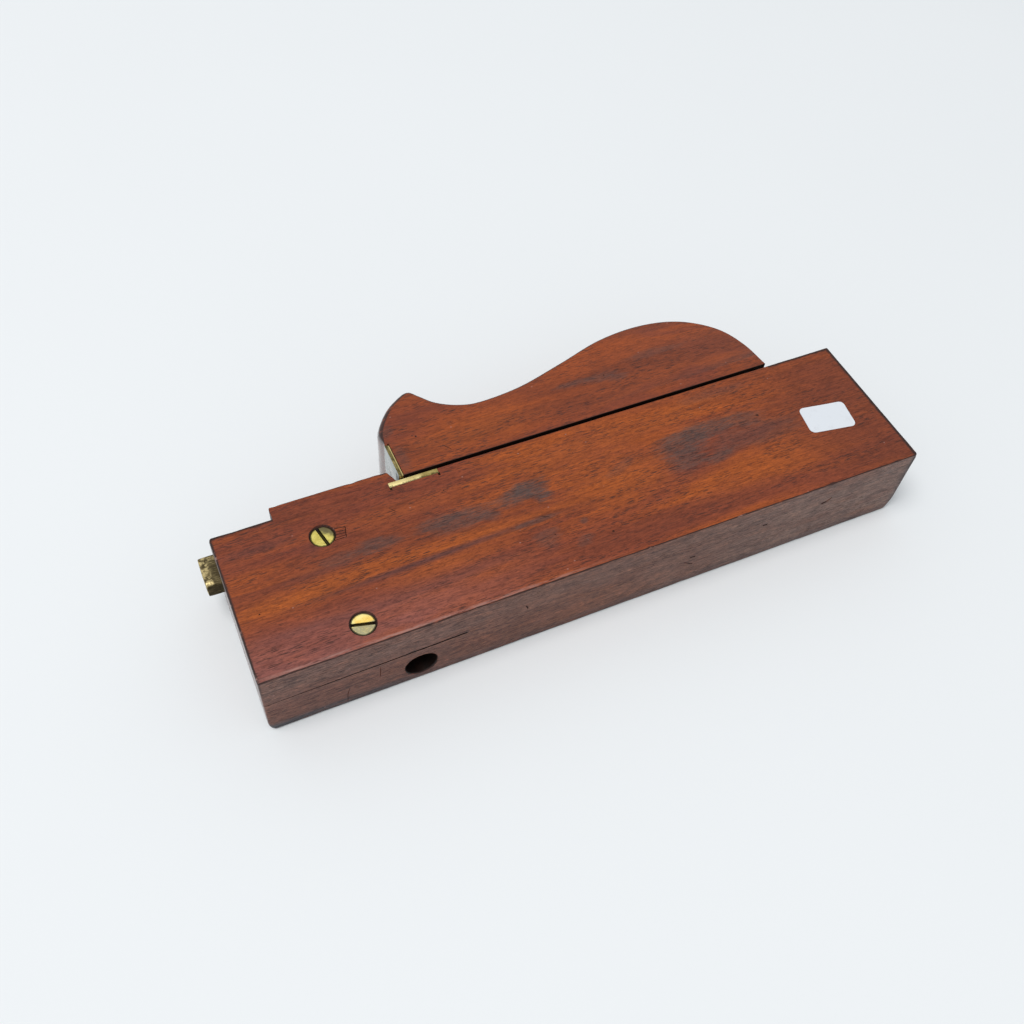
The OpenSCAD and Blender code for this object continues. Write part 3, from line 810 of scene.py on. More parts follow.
def mouth_dirty(alloy):
    """Dirt packed along the mouth plate's near edge, in a ragged line."""
    low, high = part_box("mouth_plate")
    frayed = alloy.plus(alloy.y, alloy.ragged((430, 200, 200), 5, 3, rough=0.75))
    return alloy.times(alloy.beyond(frayed, low.y, 0.5, 0.2), 0.6)


def mouth_highlight(alloy):
    """A painted highlight: the mouth plate is brighter towards its left end."""
    frayed = alloy.plus(alloy.x, alloy.ragged((900, 900, 900), 4, 8))
    return alloy.soft_step(frayed, joiner(74, 0).x, joiner(65, 0).x)


plate_brass = metal(
    "brass_plate", clean=(1.0, 0.84, 0.42), tarnish=(0.46, 0.36, 0.13), amount=0.62, seed=2,
    gloss=(0.45, 0.7), highlit=mouth_highlight, dirt_and_shade=mouth_dirty,
)
nose_brass = metal(
    "brass_nose", clean=(0.98, 0.76, 0.32), tarnish=(0.36, 0.3, 0.12), amount=0.75, seed=5,
    gloss=(0.3, 0.5), grain=(2600, 2600, 300), highlit=nose_rear_highlight, dirt_and_shade=nose_dirt_and_shadow,
    film_and_sheen=nose_face_sheen, film_and_sheen_tint=(0.44, 0.48, 0.5), film_rough=0.15,
)
# The bar's very dark tarnish is partly painted shadow of the stock; its rims get painted light.
bar_brass = metal(
    "brass_bar", clean=(0.74, 0.6, 0.3), tarnish=(0.105, 0.082, 0.042), amount=0.98, seed=7,
    gloss=(0.4, 0.6), highlit=bar_lit_rims, dirt_and_shade=bar_near_shade,
)
strip_brass = metal(
    "brass_strip", clean=(0.6, 0.46, 0.17), tarnish=(0.2, 0.15, 0.06), amount=0.7, seed=8,
    gloss=(0.3, 0.5),
)
far_screw_brass = metal(
    "brass_screw_far", clean=(1.0, 0.87, 0.28), tarnish=(0.66, 0.56, 0.15), amount=0.45,
    seed=11, gloss=(0.4, 0.6), grain=(1800, 1800, 1800), dirt_and_shade=head_dirt("clamp_screw_far"),
    film_and_sheen=far_screw_film, film_and_sheen_tint=(0.13, 0.105, 0.07), film_rough=0.45,
)
near_screw_brass = metal(
    "brass_screw_near", clean=(1.0, 0.9, 0.42), tarnish=(0.97, 0.74, 0.22), amount=0.4,
    seed=12, gloss=(0.62, 0.72), grain=(1800, 1800, 1800), dirt_and_shade=head_dirt("clamp_screw_near"),
    film_and_sheen=near_screw_film, film_and_sheen_tint=(0.4, 0.375, 0.25), film_rough=0.5,
)
pin_brass = metal(
    "brass_pin", clean=(0.86, 0.68, 0.28), tarnish=(0.42, 0.33, 0.12), amount=0.45, seed=13,
)
knife_steel = metal(
    "tool_steel", clean=(0.52, 0.53, 0.54), tarnish=(0.2, 0.17, 0.15), amount=0.35, seed=3,
    grain=(2600, 400, 2600),
)
screw_iron = metal(
    "iron_screw", clean=(0.3, 0.28, 0.27), tarnish=(0.13, 0.085, 0.06), amount=0.6, seed=6,
    gloss=(0.4, 0.65),
)
paper = label_paper()
print("other finishes:", plate_brass.name, bar_brass.name, near_screw_brass.name, paper.name)

# %% [markdown]
# ## Tools for making meshes
# Four small tools do nearly all of the modelling. skin() closes a stack of rings into a solid,
# which suits a stock, a handle and a bar. prism() and turned() make the cutters for grooves and
# holes, and carve() takes them away from a solid. Normals are smooth except at real edges.

# %% Mesh tools
SHARP, FLAT = math.radians(32), math.radians(1)
WELD = 1e-6


def finished(name, mesh_data, finish):
    """A linked object with its material and with creases only at real edges."""
    mesh_data.materials.clear()
    mesh_data.materials.append(finish)
    mesh_data.shade_smooth()
    mesh_data.set_sharp_from_angle(angle=SHARP)
    piece = bpy.data.objects.new(name, mesh_data)
    bpy.context.scene.collection.objects.link(piece)
    return piece


def mesh_of(bm, name):
    """Writes a bmesh out as a mesh with its faces turned outwards."""
    bmesh.ops.recalc_face_normals(bm, faces=bm.faces)
    data = bpy.data.meshes.new(name)
    bm.to_mesh(data)
    bm.free()
    return data


def skin(name, rings, hub=None):
    """A closed solid through rings of equally many points, in metres. Each end is one face,
    or, where a hub is given, a fan of triangles round a point that sees the whole outline."""
    bm = bmesh.new()
    rows = [[bm.verts.new(point) for point in ring] for ring in rings]
    for low, high in zip(rows, rows[1:]):
        for four in zip(low, low[1:] + low[:1], high[1:] + high[:1], high):
            bm.faces.new(four)
    for row in (rows[0], rows[-1]):
        if hub is None:
            bm.faces.new(row)
        else:
            centre = bm.verts.new((hub.x, hub.y, row[0].co.z))
            for a, b in zip(row, row[1:] + row[:1]):
                bm.faces.new((a, b, centre))
    return mesh_of(bm, name)


def prism(outline, low, high, upright=True):
    """An outline pushed along Z, or along Y when it isn't upright, in joiner's mm."""
    return skin("cutter", [
        [joiner(a, b, end) if upright else joiner(a, end, b) for a, b in outline]
        for end in (low, high)
    ])


def oblong(x0, x1, y0, y1):
    """The outline of a rectangle."""
    return [(x0, y0), (x1, y0), (x1, y1), (x0, y1)]


def round_angles(sides):
    """The angles of that many points on a circle."""
    return [2 * math.pi * i / sides for i in range(sides)]


def turned(profile, centre, axis="Z", sides=64, ragged=0.0):
    """A solid of revolution. The profile holds (radius, distance along the axis) in mm."""
    rings = []
    for radius, along in profile:
        ring = []
        for angle in round_angles(sides):
            c, s = math.cos(angle), math.sin(angle)
            rough = 1 + ragged * noise.noise(Vector((3 * c, 3 * s, along)))
            a, b = radius * rough * c, radius * rough * s
            local = {"Y": (a, along, b), "Z": (a, b, along)}[axis]
            ring.append(joiner(*(start + shift for start, shift in zip(centre, local))))
        rings.append(ring)
    return skin("cutter", rings)


def carve(data, cutters):
    """Takes the cutters away from a solid, one after another, and returns the new mesh."""
    work, *tools = (bpy.data.objects.new("work", mesh) for mesh in (data, *cutters))
    for thing in (work, *tools):
        bpy.context.scene.collection.objects.link(thing)
    for tool in tools:
        cut = work.modifiers.new("cut", "BOOLEAN")
        cut.operation = "DIFFERENCE"
        cut.solver = "MANIFOLD"
        cut.object = tool
    bpy.context.view_layer.update()
    whole = work.evaluated_get(bpy.context.evaluated_depsgraph_get())
    carved = bpy.data.meshes.new_from_object(whole)
    for thing in (work, *tools):
        bpy.data.objects.remove(thing)
    return carved


def softened(node, width):
    """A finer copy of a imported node: flat faces made whole, then every edge eased by width mm."""
    bm = bmesh.new()
    bm.from_mesh(frame["nodes"][node].data)
    bmesh.ops.remove_doubles(bm, verts=bm.verts, dist=WELD)
    bmesh.ops.dissolve_limit(
        bm, angle_limit=FLAT, verts=bm.verts, edges=bm.edges, delimit=set())
    edges = [e for e in bm.edges if e.is_manifold and e.calc_face_angle() > SHARP]
    bmesh.ops.bevel(
        bm, geom=edges, offset=width * MM, offset_type="OFFSET", segments=2,
        profile=0.5, affect="EDGES", clamp_overlap=True,
    )
    return mesh_of(bm, node)


print("mesh tools ready")

# %% [markdown]
# ## The stock
# The stock began as a planed block. Its edges were sharp once, and use has rounded them
# unevenly: the near bottom edge most, the slot side least. A plain bevel would round them all
# alike, so the block is lofted instead. Every 0.8 mm along the tool there is one ring, a
# rectangle with four rounded corners, and each corner's radius is a function of where the ring
# is. Small dents in an edge are places where the radius grows for a millimetre or two.

# %% Sections of the stock
ARC_STEPS = 4
EDGE_SHARES = (0.01, 0.026, 0.048, 0.075, 0.107, 0.145, 0.195, 0.26, 0.36)
SIDE_SHARES = EDGE_SHARES + (0.5,) + tuple(1 - share for share in reversed(EDGE_SHARES))
END_ROUND = 0.85
RIM_STEPS = 4
CLOSE_PITCH, CLOSE_COUNT = 0.4, 23


def rounded_section(near, far, bottom, top, radii):
    """A rectangle with four corner radii, from the near bottom corner round by the top."""
    spots = ((near, bottom, 1, 1), (near, top, 1, -1), (far, top, -1, -1), (far, bottom, -1, 1))
    arcs = []
    for k, ((y, z, in_y, in_z), r) in enumerate(zip(spots, radii)):
        angles = [math.radians(270 - 90 * k - 90 * i / ARC_STEPS) for i in range(ARC_STEPS + 1)]
        arcs.append([
            (y + in_y * r + r * math.cos(t), z + in_z * r + r * math.sin(t)) for t in angles
        ])
    ring = []
    for arc, following in zip(arcs, arcs[1:] + arcs[:1]):
        (y0, z0), (y1, z1) = arc[-1], following[0]
        ring += arc + [(y0 + (y1 - y0) * s, z0 + (z1 - z0) * s) for s in SIDE_SHARES]
    return ring


def drift(x, seed, size):
    """A smooth random number from -1 to 1 that changes over about size mm."""
    return noise.noise(Vector((x / size, seed * 7.3, 0.5)))


def dents(x, places):
    """How much deeper an edge is worn at x, from (place, half width, depth) in mm."""
    return sum(depth * math.exp(-(((x - at) / half) ** 2)) for at, half, depth in places)


def piecewise(x, points):
    """Straight lines through (x, value) points."""
    for (x0, v0), (x1, v1) in zip(points, points[1:]):
        if x <= x1:
            return v0 + (v1 - v0) * (x - x0) / (x1 - x0)
    return points[-1][1]


far_face = [
    (0, WIDTH), (HEAD_X - 0.03, WIDTH), (HEAD_X, WIDTH + HEAD_RISE - 0.45),
    (HEAD_X + 0.4, WIDTH + HEAD_RISE), (THROAT_TOP_X - 0.5, WIDTH + HEAD_RISE),
    (THROAT_TOP_X, WIDTH + HEAD_RISE - 0.3), (HEAD_END_X, WIDTH), (LENGTH, WIDTH),
]
near_top_dents = [
    (54, 1.6, 0.55), (60, 0.9, 0.3), (83, 1.2, 0.22), (99, 0.8, 0.3), (131, 1.0, 0.25),
    (168, 0.9, 0.22), (204, 1.3, 0.5), (232, 1.5, 0.35),
]
near_bottom_dents = [(17, 2.5, 0.25), (88, 2, 0.3), (149, 3, 0.3), (198, 2, 0.35)]
far_top_dents = [(23, 1.0, 0.3), (49.5, 1.3, 0.5), (60.5, 1.4, 0.45), (8, 2.5, 0.25)]


def stock_ring(x, inset):
    """One ring of the stock at x, drawn in by inset near the ends."""
    slot_edge = 0.22 if x > HEAD_END_X else 0.42
    radii = [max(0.12, r - 0.6 * inset) for r in (
        0.6 + 0.2 * drift(x, 1, 14) + dents(x, near_bottom_dents),
        0.42 + 0.14 * drift(x, 2, 9) + dents(x, near_top_dents),
        slot_edge + 0.08 * drift(x, 3, 8) + dents(x, far_top_dents),
        0.45 + 0.12 * drift(x, 4, 12),
    )]
    near, far = -TAPER * x / LENGTH, piecewise(x, far_face)
    flat = rounded_section(near + inset, far - inset, inset, THICK - inset, radii)
    return [joiner(x + (y - WIDTH) * SKEW, y, z) for y, z in flat]


def stations(length, pitch, specials=(), round_off=END_ROUND, cap=(4.2, 2.8, 1.8, 1.0)):
    """Pairs of x and inset: flat rings over both end faces, rounded rims, close rings beside
    them, and the body between, with a ring at each special place."""
    start = [(0.0, inset) for inset in cap]
    for i in range(RIM_STEPS + 1):
        t = i * math.pi / 2 / RIM_STEPS
        start.append((round_off * (1 - math.cos(t)), round_off * (1 - math.sin(t))))
    steps = int((length - 2 * round_off) / pitch)
    body = [round_off + (length - 2 * round_off) * i / steps for i in range(1, steps)]
    body = [x for x in body if all(abs(x - s) > pitch / 3 for s in specials)]
    body = [x for x in body if 10 * round_off + 1 < x < length - 10 * round_off - 1]
    close = [round_off + CLOSE_PITCH * i for i in range(1, CLOSE_COUNT + 1)]
    body = sorted(body + close + [length - x for x in close] + list(specials))
    ends = [(length - x, inset) for x, inset in reversed(start)]
    return start + [(x, 0.0) for x in body] + ends


stock_stations = stations(LENGTH, 0.8, [x for x, _ in far_face[1:-1]])
print("rings along the stock:", len(stock_stations))

# %% [markdown]
# ## Knocked corners and a planed but restless surface
# A corner that has been dropped is worn round, and most so in the edge that took the blow.
# Three edges meet at a corner, and ease() rounds one of them: with a full radius at the corner
# that dies out smoothly along the edge. ripple() then moves each point by a few hundredths of
# a millimetre, which no one sees as shape but which stops the faces from reflecting like glass.
# Its noise starts from the clock unless it is given a seed, so it is given one.

# %% Wear on the stock
def ease(point, corner, inward, along, largest):
    """Rounds the edge that runs along one axis from a corner, over four times its radius."""
    local = [(point[i] - corner[i]) * inward[i] for i in range(3)]
    fade = 1 - max(0.0, local[along]) / (4 * largest)
    if fade <= 0:
        return point
    radius = largest * fade * fade
    a, b = (i for i in range(3) if i != along)
    short_a, short_b = radius - local[a], radius - local[b]
    reach = math.hypot(short_a, short_b)
    if short_a <= 0 or short_b <= 0 or reach <= radius:
        return point
    local[a] = radius - short_a * radius / reach
    local[b] = radius - short_b * radius / reach
    return Vector((corner[i] + local[i] * inward[i] for i in range(3)))


noise.seed_set(5)


def ripple(point, amount, size):
    """A small smooth shift that depends only on the place."""
    return point + noise.noise_vector(point / (size * MM)) * amount * MM


# Each corner: where it is, which way is inward, and the radius of its edge along X, Y and Z
knocked = [
    (joiner(-WIDTH * SKEW, 0), (1, 1, 1), (1.5, 3.6, 2.8)),
    (joiner(LENGTH - WIDTH * SKEW, -TAPER), (-1, 1, 1), (1.8, 5.0, 3.2)),
    (joiner(LENGTH - WIDTH * SKEW, -TAPER, THICK), (-1, 1, -1), (1.0, 1.3, 1.7)),
    (joiner(-WIDTH * SKEW, 0, THICK), (1, 1, -1), (0.4, 0.6, 0.8)),
    (joiner(0, WIDTH, THICK), (1, -1, -1), (0.5, 0.6, 1.5)),
    (joiner(LENGTH, WIDTH, THICK), (-1, -1, -1), (0.3, 0.4, 0.5)),
    (joiner(LENGTH, WIDTH, 0), (-1, -1, 1), (0.7, 1.8, 1.2)),
]


def worn_stock(point):
    """A point of the block after its corners are knocked and its faces rippled."""
    for corner, inward, radii in knocked:
        for along, largest in enumerate(radii):
            point = ease(point, corner, inward, along, largest * MM)
    point = ripple(point, 0.05, 9)
    point.z = min(max(point.z, 0.0), THICK * MM)
    return point


stock_rings = [[worn_stock(p) for p in stock_ring(x, inset)] for x, inset in stock_stations]
stock_block = skin("stock_block", stock_rings)
print("block before cutting:", len(stock_block.vertices), "points")

# %% [markdown]
# ## Sawing, chopping and boring
# The kerf is one saw cut from the left end, hardly open where the screws pinch it and wider at
# its root. The groove for the bar was ploughed before the kerf was sawn. The mouth plate's
# recess was cut with a fine saw whose corners ran over by a millimetre, which still shows as
# two black ticks. The bore in the near face has a slightly broken rim.

# %% Cutters for the stock's joints
bar_low, bar_high = measured_box("slide_bar")
plate_low, plate_high = measured_box("mouth_plate")
BAR_PLAY = 0.05
BAR_OUT_TRAVEL, BAR_TRAVEL = (abs(end) / MM for end in frame["joints"][0]["range_m"])
OUT = WIDTH + 8
ABOVE = THICK + 1
PLATE_PLAY = 0.03

kerf_cut = prism(
    [(-2, KERF_LEFT_Z - 0.14), (30, KERF_LEFT_Z + 0.4), (KERF_END - 0.4, KERF_ROOT_Z - 0.36),
     (KERF_END, KERF_ROOT_Z), (KERF_END - 0.4, KERF_ROOT_Z + 0.36), (30, KERF_LEFT_Z + 0.86),
     (-2, KERF_LEFT_Z + 0.06)],
    -TAPER - 2, OUT, upright=False,
)
groove_end = bar_high.x + BAR_TRAVEL + 0.4
groove_far = bar_high.y + BAR_PLAY
groove_cut = prism(
    [(-2, bar_low.y - BAR_PLAY), (groove_end, bar_low.y - BAR_PLAY), (groove_end, OUT),
     (HEAD_END_X, OUT), (HEAD_END_X, groove_far), (HEAD_X, groove_far), (HEAD_X, OUT), (-2, OUT)],
    bar_low.z - BAR_PLAY, bar_high.z + BAR_PLAY,
)
recess_left, recess_right = plate_low.x - 0.04, plate_high.x + 0.04
recess_cut = prism(
    [(recess_left, plate_low.y - PLATE_PLAY), (recess_right, plate_low.y - PLATE_PLAY),
     (recess_right, OUT), (HEAD_END_X + 0.1, OUT), (HEAD_END_X + 0.1, plate_high.y + PLATE_PLAY),
     (recess_left, plate_high.y + PLATE_PLAY)],
    plate_low.z, ABOVE,
)
overcuts = [
    prism(oblong(x - 0.38, x + 0.38, plate_low.y - 1.1, plate_low.y + 0.3),
          plate_low.z + 2, ABOVE)
    for x in (plate_low.x + 0.25, plate_high.x - 0.1)
]
clamp_places = {}
for side in ("far", "near"):
    low, high = measured_box(f"clamp_screw_{side}")
    clamp_places[side] = ((low.x + high.x) / 2, (low.y + high.y) / 2, high.z)
HEAD_R = (high.x - low.x) / 2
SHANK_R = 2.1
SCREW_L = high.z - low.z
MOUTH_R = HEAD_R + 0.34
HOLE_R = SHANK_R + 0.05
screw_cuts = [
    turned([(MOUTH_R + 0.18, THICK - z + 0.5), (MOUTH_R + 0.18, THICK - z),
            (MOUTH_R, THICK - z - 0.18), (MOUTH_R, 0), (HOLE_R, HOLE_R - MOUTH_R),
            (HOLE_R, -SCREW_L - 0.3)], (x, y, z), ragged=0.012)
    for x, y, z in clamp_places.values()
]
bore_cut = turned(
    [(BORE_R + 0.35, -1), (BORE_R + 0.3, 0.02), (BORE_R, 0.4), (BORE_R, BORE_DEPTH),
     (0.4, BORE_DEPTH + 1.6)],
    (BORE_X, -SKEW * BORE_X, BORE_Z), axis="Y", ragged=0.01,
)
HANDLE_SCREWS = [(98, 70, 6.5), (172, 80, 6.5)]
HANDLE_HOLE_R = 2.42
PLUG_R = 4.5
long_screw_cuts = [
    turned([(HANDLE_HOLE_R, -40.2), (HANDLE_HOLE_R, 2)], place, axis="Y", sides=24)
    for place in HANDLE_SCREWS
]
print("cutters ready, screw heads", round(2 * HEAD_R, 2), "mm wide")

# %% [markdown]
# ## A scored mark, scratches and pits
# Someone once scored a small rectangle beside the far screw. Scratches are cut with a thin
# three-sided prism, and pits with a small ragged cone. Each one is a real cut, so it catches
# the light on one side and keeps a shadow on the other.

# %% Scratch and cut the stock
TOP, NEAR = (0, 0, 1), (0, -1, 0)
MARK = [(37.8, 44.6), (41.7, 44.1), (40.8, 40.2), (36.9, 40.1)]
MARK_BARS = (0.3, 0.55, 0.8)
PROUD = 0.06


def scored_line(a, b, out, depth, wide):
    """A knife line from a to b, both in joiner's mm, on a face that looks along out."""
    a, b, out = Vector(a), Vector(b), Vector(out)
    side = (b - a).normalized().cross(out) * wide
    rows = [[end + out * PROUD + side, end - out * depth, end + out * PROUD - side]
            for end in (a, b)]
    return skin("scored", [[joiner(*point) for point in row] for row in rows])


def top_line(a, b, depth=0.22, wide=0.16):
    """A scratch on the top face."""
    return scored_line((*a, THICK), (*b, THICK), TOP, depth, wide)


def near_line(a, b, wide):
    """A scratch on the near face, from (x, z) to (x, z)."""
    ends = [(x, -SKEW * x, z) for x, z in (a, b)]
    return scored_line(*ends, NEAR, 1.2 * wide, wide)


def pit(x, y, r):
    """A small ragged pit in the top face."""
    profile = [(r, 0.3), (r, 0.02), (0.55 * r, -0.5 * r), (0.1, -0.8 * r)]
    return turned(profile, (x, y, THICK), sides=16, ragged=0.5)


mark_cuts = [top_line(a, b) for a, b in zip(MARK, MARK[1:] + MARK[:1])]
for share in MARK_BARS:
    ends = [(a[0] + (b[0] - a[0]) * share, a[1] + (b[1] - a[1]) * share)
            for a, b in ((MARK[0], MARK[3]), (MARK[1], MARK[2]))]
    mark_cuts.append(top_line(*ends, depth=0.2, wide=0.14))
top_scratches = [((103, 24), (105.5, 22.6)), ((57.6, 45.8), (59, 43.9))]
near_scratches = [
    ((26.5, 9.4), (25.6, 6.2), 0.2), ((25.6, 6.2), (25.3, 1.6), 0.2),
    ((36.9, 15.8), (36.6, 9.9), 0.17), ((147.6, 13.2), (151.6, 10.4), 0.26),
    ((202.6, 20.3), (204.9, 20.7), 0.5), ((204.4, 20.4), (206.6, 22.2), 0.42),
    ((86.6, 22.2), (87.5, 20), 0.28), ((149.6, 15.2), (151.8, 15), 0.4),
    ((178, 19.6), (180.2, 19.3), 0.4), ((239.2, 12.6), (240, 9.4), 0.17),
]
stock_pits = [
    (195.9, 35.9, 0.62), (122.5, 9.6, 0.42), (77, 46, 0.26), (113, 9.8, 0.3), (7, 22.6, 0.3),
    (104, 15.6, 0.3),
]
stock_mesh = carve(stock_block, [
    kerf_cut, groove_cut, recess_cut, *overcuts, *screw_cuts, bore_cut, *long_screw_cuts,
    *mark_cuts, *(top_line(*ends, 0.18, 0.13) for ends in top_scratches),
    *(near_line(*scratch) for scratch in near_scratches), *(pit(*place) for place in stock_pits),
])
stock = finished("stock_worn", stock_mesh, stock_wood)
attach(stock, "stock")
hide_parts("stock")
print("stock:", len(stock.data.polygons), "faces")

# %% [markdown]
# ## The handle
# The handle is sawn to an S from a board as thick as the stock, and its outer edges are worked
# round with a spokeshave, so its side swells a little between two soft edges. Its outline is a
# smooth curve through a few points. Each ring repeats that outline at another height, pushed
# outwards by the sine of an angle while the height goes by its cosine: that is a quarter
# ellipse, and it meets the flat top without a crease. The ellipse starts a little inside the
# outline, and the strip it rounds off there is where dirt draws a dark line round the handle.

# %% Shape the handle
FRONT_X = 65.4
EDGE_H = 3.0
EDGE_INSIDE = 0.5
GRIP_STEPS = 10
# Each point of the outline: x, y and how far the side swells there
grip_points = [
    (65.5, 71.75, 0), (67.4, 77.8, 2.3), (73, 85.9, 2.2), (79.3, 90.9, 1.7), (82.2, 91.8, 1.1),
    (84.8, 89.1, 0.8), (89.4, 84, 0.8), (96.5, 80.1, 0.8), (105, 78.6, 0.8),
    (121.3, 80.2, 0.8), (140.2, 85.4, 0.8), (159.8, 91.2, 0.8), (178.1, 92.6, 0.8),
    (193.6, 89.3, 0.8), (205.5, 80.8, 0.7), (211.3, 69.7, 0.5), (213.2, 57.05, 0),
]


def smooth_line(points, steps):
    """A Catmull-Rom curve through the points, which may hold any number of values."""
    line = []
    last = len(points) - 1
    for i in range(last):
        a, b = points[max(i - 1, 0)], points[i]
        c, d = points[i + 1], points[min(i + 2, last)]
        for k in range(steps):
            t = k / steps
            line.append(tuple(
                (2 * q + (r - p) * t + (2 * p - 5 * q + 4 * r - s) * t * t
                 + (3 * q - p - 3 * r + s) * t ** 3) / 2
                for p, q, r, s in zip(a, b, c, d)
            ))
    return line + [points[last]]


def grip_ring(line, z, swell_share):
    """The handle's outline at one height, in frame metres."""
    ring = [joiner(FRONT_X, SLOT_Y, z)]
    for i, (x, y, swell) in enumerate(line):
        a, b = line[max(i - 1, 0)], line[min(i + 1, len(line) - 1)]
        run = Vector((b[0] - a[0], b[1] - a[1])).normalized()
        from_ends = min(i, len(line) - 1 - i) / GRIP_STEPS
        inside = EDGE_INSIDE * min(1, from_ends)
        push = (max(swell, 0) + inside) * swell_share - inside
        ring.append(joiner(x - run.y * push, y + run.x * push, z))
    return ring


grip_line = smooth_line(grip_points, GRIP_STEPS)
edge_angles = [math.radians(a) for a in (0, 12, 26, 42, 60, 90)]
edge_rows = [(EDGE_H * (1 - math.cos(a)), math.sin(a)) for a in edge_angles]
middle_rows = [(THICK * s, 1.0) for s in (0.25, 0.42, 0.58, 0.75)]
grip_rows = edge_rows + middle_rows + [(THICK - z, share) for z, share in reversed(edge_rows)]
grip_rings = [grip_ring(grip_line, z, share) for z, share in grip_rows]
grip_block = skin("grip_block", grip_rings, hub=joiner(95, 60))
print("handle before cutting:", len(grip_block.vertices), "points")

# %% Cut the handle
nose_low, nose_high = measured_box("nose_plate")
knife_low, knife_high = measured_box("knife")
SEAT_PLAY, KNIFE_ROOM = 0.02, 0.5
seat_left, seat_right = nose_low.x - 2, nose_high.x + SEAT_PLAY
seat_cut = prism(
    [(seat_left, SLOT_Y - 2), (seat_right, SLOT_Y - 2), (seat_right, nose_high.y - 0.68),
     (nose_low.x + SEAT_PLAY, nose_high.y + SEAT_PLAY), (seat_left, nose_high.y + SEAT_PLAY)],
    -1, ABOVE,
)
joint_cut = prism(
    oblong(nose_high.x - 0.5, nose_high.x + 0.26, SLOT_Y - 2, nose_high.y + 0.15),
    THICK - 1.6, ABOVE,
)
knife_way_cut = prism(
    oblong(FRONT_X - 1, knife_high.x + BAR_TRAVEL + KNIFE_ROOM,
           SLOT_Y - 1, knife_high.y + KNIFE_ROOM),
    knife_low.z - KNIFE_ROOM, knife_high.z + KNIFE_ROOM,
)
plug_profile = [(PLUG_R, 0), (PLUG_R, 40)]
hole_profile = [(HANDLE_HOLE_R, -40), (HANDLE_HOLE_R, -2.4), (PLUG_R, -0.3), (PLUG_R, 0.1)]
screw_hole_cuts = [
    turned(profile, place, axis="Y", sides=48)
    for profile in (plug_profile, hole_profile) for place in HANDLE_SCREWS
]
grip_scratch = top_line((84.2, 64.6), (86.4, 61.7), 0.2, 0.15)
grip_pits = [pit(x, y, r) for x, y, r in ((77, 71.6, 0.4), (75.9, 72.3, 0.28), (152.5, 74, 0.3))]
handle_mesh = carve(grip_block, [
    seat_cut, joint_cut, knife_way_cut, *screw_hole_cuts, grip_scratch, *grip_pits,
])
handle = finished("handle_shaped", handle_mesh, handle_wood)
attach(handle, "stock")
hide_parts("handle")
print("handle:", len(handle.data.polygons), "faces")

# %% [markdown]
# ## The brass at the mouth
# Both plates are cut from strip and filed flush with the wood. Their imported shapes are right,
# and only their edges are too sharp to catch the light, so each is copied with every edge
# eased by a tenth of a millimetre.

# %% Mouth plate and nose plate
mouth_plate = finished("mouth_plate_filed", softened("mouth_plate", 0.1), plate_brass)
nose_plate = finished("nose_plate_filed", softened("nose_plate", 0.12), nose_brass)
for piece, node in ((mouth_plate, "mouth_plate"), (nose_plate, "nose_plate")):
    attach(piece, "stock")
    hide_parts(node)
print("plates:", len(mouth_plate.data.polygons), len(nose_plate.data.polygons), "faces")

# %% [markdown]
# ## The slide bar
# The bar is tapped home with a hammer, so its outer end is bruised: the rim is rounded and
# spread a little, and the face is not quite flat. It is lofted like the stock, and then
# notched for the clamp screw and for the knife.

# %% Loft and cut the bar
BAR_PITCH = 0.9
BRUISE_LENGTH = 1.6
NOTCH_GAP = 0.2
KNIFE_HOLE_R = 1.22
bar_length, bar_width, bar_height = (bar_high[i] - bar_low[i] for i in range(3))
bar_dents = [(1.2, 0.8, 0.35), (4.4, 0.6, 0.12)]


def bar_ring(x, inset):
    """One ring of the bar, x from its outer end."""
    tip = math.exp(-x / BRUISE_LENGTH)
    radii = [max(0.08, r - 0.5 * inset) for r in (
        0.25 + 0.5 * tip, 1.0 + 0.6 * tip + dents(x, bar_dents),
        0.28 + 0.3 * tip, 0.25 + 0.5 * tip,
    )]
    flat = rounded_section(
        bar_low.y + inset, bar_high.y - inset, bar_low.z + inset, bar_high.z - inset, radii
    )
    ring = []
    for y, z in flat:
        middle = Vector(((y - bar_low.y) / bar_width - 0.5, (z - bar_low.z) / bar_height - 0.5))
        hammered = 0.12 * tip * (1 + noise.noise(Vector((y, z, 2))))
        dish = 0.35 * tip * middle.length_squared + hammered
        ring.append(joiner(bar_low.x + x + dish, y, z))
    return ring


bar_stations = stations(bar_length, BAR_PITCH, round_off=0.35, cap=(2.4, 1.7, 1.1, 0.7))
bar_block = skin("bar_block", [bar_ring(x, inset) for x, inset in bar_stations])
far_x, far_y, _ = clamp_places["far"]
notch_r = SHANK_R + NOTCH_GAP
notch_cut = prism(
    oblong(far_x - notch_r - BAR_TRAVEL, far_x + notch_r + BAR_OUT_TRAVEL,
           bar_low.y - 1, far_y + notch_r),
    bar_low.z - 1, bar_high.z + 1,
)
knife_seat_cut = prism(
    oblong(knife_low.x, knife_high.x, knife_low.y, bar_high.y + 1), knife_low.z, bar_high.z + 1
)
low, high = measured_box("knife_screw")
knife_screw_cut = turned(
    [(KNIFE_HOLE_R, -5), (KNIFE_HOLE_R, 1)],
    ((low.x + high.x) / 2, (low.y + high.y) / 2, knife_low.z), sides=24,
)
bar_mesh = carve(bar_block, [notch_cut, knife_seat_cut, knife_screw_cut])
slide_bar = finished("slide_bar_worn", bar_mesh, bar_brass)
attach(slide_bar, "slide")
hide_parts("slide_bar")
print("bar:", len(slide_bar.data.polygons), "faces")

# %% [markdown]
# ## The clamp screws
# An old wood screw has a flat countersunk head with a hand-cut slot, a plain neck and a thread
# that winds down to a point. A lathe profile alone would give rings. Here the radius depends
# on the height and on the angle together, so one surface carries a true helix.

